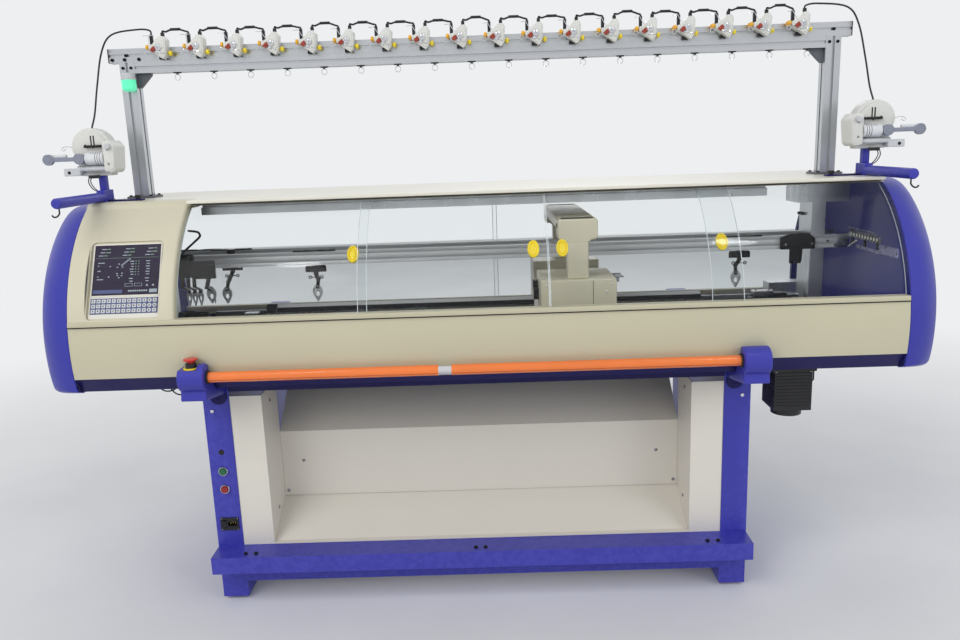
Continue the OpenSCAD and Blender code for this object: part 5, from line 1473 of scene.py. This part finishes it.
def feeder_arm(name, m):
    """Dog-bone arm with two round ends and its brass stub."""
    z, r = -28, 15.4
    arm = Piece()
    outline = bow((24, z), r, 65, 295, 24) + [(40, -34.0), (96, -34.0)]
    outline += bow((112, z), r, -115, 115, 24) + [(96, -22.4), (40, -22.4)]
    arm.prism("y", outline, -56.4, -47.6, 2.2, 3, m, 40)
    disc = [(r, 0), (r, -10.6), (14.6, -11.5), (12.0, -11.6), (11.4, -11.0), (8.2, -11.0), (7.8, -11.9),
            (5, -12), (4.4, -11.4), (0, -11.4)]
    arm.lathes([(u, -46.4, z) for u in (24, 112)], "y", disc, 36, m)
    arm.box(16.3, 30, -49.8, -18.4, -40, -16.4, 2.6, 3, m)
    arm.make(name + "_arm", "steelblue", "feeder_housings", angle=35)
    stub = Piece().lathe((120, -50, z), "x", [(3.9, -2), (3.9, 8.6), (3.4, 9.6), (0, 9.8)], 24, m)
    stub.make(name + "_stub", "brass", "feeder_housings")

def feeder_rollers(name, side, m):
    """Long roller, toothed roller, and the driven roller with its rubber rings."""
    rollers, drum, rings = pieces(3)
    start, end = [(0, 0), (5.4, 0), (6, 0.8)], [(6, 65.2), (5.4, 66), (0, 66)]
    smooth = ribbed(start, end, 6, 5.5, 5, 8, 12, (0, 0.6, 1.6, 2.2))
    toothed = ribbed([(0, 0), (8, 0)], [(8, 84), (0, 84)], 8, 6.6, 16, 2, 5.1, (0, 0.7, 2.2, 2.9))
    rollers.lathe((64, -42, -20), "x", smooth, 28, m)
    rollers.lathe((-46, -36, -56), "x", toothed, 28, m)
    rollers.make(name + "_long_rollers", "roller", "feeder_housings", slot="grey_plastic")
    prof = [(0, -11), (2.9, -11), (2.9, -1), (8, -1), (8, 0), (16.6, 0), (18, 1.2), (18, 50.4), (16.6, 51.8),
            (9, 52), (0, 52)]
    drum.lathe((-45, -42, -28), "x", prof, 48, m)
    node, body = side + "_feed_roller", "feed_" + side
    drum.make(node + "_drum", "roller", node, body=body, slot="roller_rubber", angle=40)
    for k in range(3):
        rings.ring((-37 + k * 6.5, -42, -28), "x", 17.2, 1.1, 48, 8, m)
    rings.make(node + "_rings", "rubber", node, body=body)

def feeder_wires(name, m, flip):
    """Yarn guide wires between dome and arm, thin leads down to the foot, and all screws."""
    wires, leads, screws = pieces(3)
    for course in ([(-20, -26, -22), (-20, -52, -14), (-14, -56, -10), (-8, -52, -14), (-8, -26, -22)],
                   [(50, -15, 4), (72, -22, 8), (84, -26, 2), (78, -28, -4), (70, -26, 2)]):
        wires.tube(course, 1.0, 8, 4, m)
    wires.make(name + "_wires", "chrome", "feeder_housings")
    for course in ([(6, -20, -76), (14, -22, -92), (8, -20, -110), (-4, -14, -124), (-10, -12, -124)],
                   [(20, -10, -76), (26, -10, -96), (16, -8, -116), (-3, -6, -126), (-5, -4, -128)]):
        leads.tube(course, 1.5, 8, 5, m)
    leads.make(name + "_leads", "sheath")
    small = [(4.4, 0), (4.4, 2.4), (2.4, 2.6), (2.4, 1.2), (0, 1.2)]
    large = [(4.6, 0), (4.6, 2.6), (2.6, 2.8), (2.6, 1.2), (0, 1.2)]
    screws.lathes([(1117, y, 1214) for y in (-182, -140)], "x", small, 16, flip)
    screws.lathe((1082, -160, 1201.8), "z", large, 16, flip)
    places = [(-62, -60, -44), (-62, -60, -4), (26, -21.8, -66), (-40, -21.8, -66)]
    screws.lathes(places, "y", [(0, -2), (2.6, -1.8), (3.2, -1), (3.2, 0)], 14, m)
    screws.make(name + "_screws", "steel")

def feeder(s, side):
    """m is the frame about the feeder's middle, mirrored for the left one."""
    flip = Matrix.Diagonal((s, 1, 1, 1))
    m = flip @ shift(*FEEDER)
    name = side + "_feeder"
    feeder_stand(name, flip)
    feeder_shell(name, m)
    feeder_dark_parts(name, m)
    feeder_arm(name, m)
    feeder_rollers(name, side, m)
    feeder_wires(name, m, flip)

feeder(-1, "left")
feeder(1, "right")

# Eyes for the yarn at the right of the head

def yarn_eyes():
    discs, rings, loops, lugs, plates = pieces(5)
    disc = [(8, 0), (8, -1.4), (5, -1.6), (5, 0.2)]
    ring = [(5.2, -0.2), (5.2, -2.6), (4.6, -3), (3.4, -3), (2.6, -2.0), (2.6, 0)]
    loop = [(1110, 6, 1027), (1104, 5, 1036), (1100, 0, 1041), (1104, -5, 1036), (1110, -6, 1027)]
    wall_x, first_y, pitch, eye_z = 1112, -258, 18.5, 1018
    for i in range(10):
        y = first_y + pitch * i
        discs.lathe((wall_x, y, eye_z), "x", disc, 28)
        rings.lathe((wall_x, y, eye_z), "x", ring, 24)
        loops.tube([(a, y + b, c) for a, b, c in loop], 0.8, 6, 5)
    discs.make("yarn_eye_discs", "black", "yarn_guides")
    rings.make("yarn_eye_rings", "white", "yarn_guides")
    loops.box(1108.5, 1112.4, -266, -75, 1024, 1030, 0.4, 1)
    loops.make("yarn_eye_loops", "steel", "yarn_guides")
    lugs.boxes([(1110, 1114, y - 6, y + 6, 985, 1010) for y in (-262, -180, -96)], 0.6)
    lugs.make("yarn_eye_lugs", "blackened")
    plates.boxes([(1108.6, 1111.8, -384, -274, 984, 1009), (1108.6, 1111.4, -277, -126, 981, 990)], 0.6)
    plates.make("yarn_eye_plates", "lilac")
    rod = Piece().tube([(1106, -83, 980), (1106, -137, 1004)], 2.4, 8, 4)
    rod.make("yarn_eye_rod", "white", slot="machined_steel")

yarn_eyes()

# Floor, world and lamps, in metres

BACKDROP = (238, 239, 241)

def floor():
    """Plain floor that runs into the backdrop's tone far from the machine."""
    w = 9.0
    me = bpy.data.meshes.new("floor")
    me.from_pydata([(-w, -w, 0), (w, -w, 0), (w, w, 0), (-w, w, 0)], [], [(0, 1, 2, 3)])
    o = link("floor", me)
    m, tree, shader, coord = new_material("floor")
    tone = ramp(tree, noise(tree, coord, 1.5, 5), 0.3, 0.7, 0, 1)
    colour = mix_colour(tree, tone, lin((226, 226, 226)), lin((234, 234, 233)))
    tree.links.new(colour, shader.inputs["Base Color"])
    shader.inputs["Roughness"].default_value = 0.8
    far = tree.nodes.new("ShaderNodeVectorMath")
    far.operation = "LENGTH"
    tree.links.new(coord, far.inputs[0])
    seen = tree.nodes.new("ShaderNodeLightPath").outputs["Is Camera Ray"]
    fade = math_node(tree, "MULTIPLY", ramp(tree, far.outputs["Value"], 1.7, 4.2, 0, 1), seen)
    back = tree.nodes.new("ShaderNodeEmission")
    back.inputs["Color"].default_value = lin(BACKDROP)
    mix_shaders(tree, fade, shader.outputs["BSDF"], back.outputs[0], tree.nodes["Material Output"])
    me.materials.append(m)

def world():
    """The camera, mirrors and clear sheets see the bright backdrop, and all else gets a softer light."""
    w = bpy.data.worlds.new("studio")
    bpy.context.scene.world = w
    w.use_nodes = True
    tree = w.node_tree
    tree.nodes.clear()
    out = tree.nodes.new("ShaderNodeOutputWorld")
    path = tree.nodes.new("ShaderNodeLightPath")
    lights = []
    for rgb, strength in (((236, 240, 246), 0.55), (BACKDROP, 1.0)):
        light = tree.nodes.new("ShaderNodeBackground")
        light.inputs["Color"].default_value = lin(rgb)
        light.inputs["Strength"].default_value = strength
        lights.append(light.outputs[0])
    direct = math_node(tree, "MAXIMUM", path.outputs["Is Camera Ray"], path.outputs["Is Glossy Ray"])
    direct = math_node(tree, "MAXIMUM", direct, path.outputs["Is Transmission Ray"])
    mix_shaders(tree, direct, *lights, out)

def lamp(name, loc, aim, size, power, colour=(1, 1, 1), shows=True):
    light = bpy.data.lights.new(name, "AREA")
    light.shape, light.size, light.energy, light.color = "DISK", size, power, colour
    o = link(name, light)
    o.location = loc
    o.rotation_euler = (Vector(aim) - Vector(loc)).to_track_quat("-Z", "Y").to_euler()
    o.visible_glossy = shows

floor()
world()
lamp("key", (-3.4, -4.6, 4.4), (0, 0, 0.8), 4.4, 176, (1.0, 0.985, 0.96), False)
lamp("fill", (4.4, -4.0, 3.2), (0, 0, 0.8), 4.0, 86, (0.96, 0.98, 1.0), False)
lamp("back", (0.8, 4.4, 4.4), (0, 0, 1.0), 4.0, 58)
lamp("glint_left", (-1.5, -3.0, 4.4), (0, 0, 1.0), 0.35, 7)
lamp("glint_right", (1.9, -2.6, 4.6), (0, 0, 1.0), 0.35, 7)

bpy.context.scene.view_settings.view_transform = "Standard"
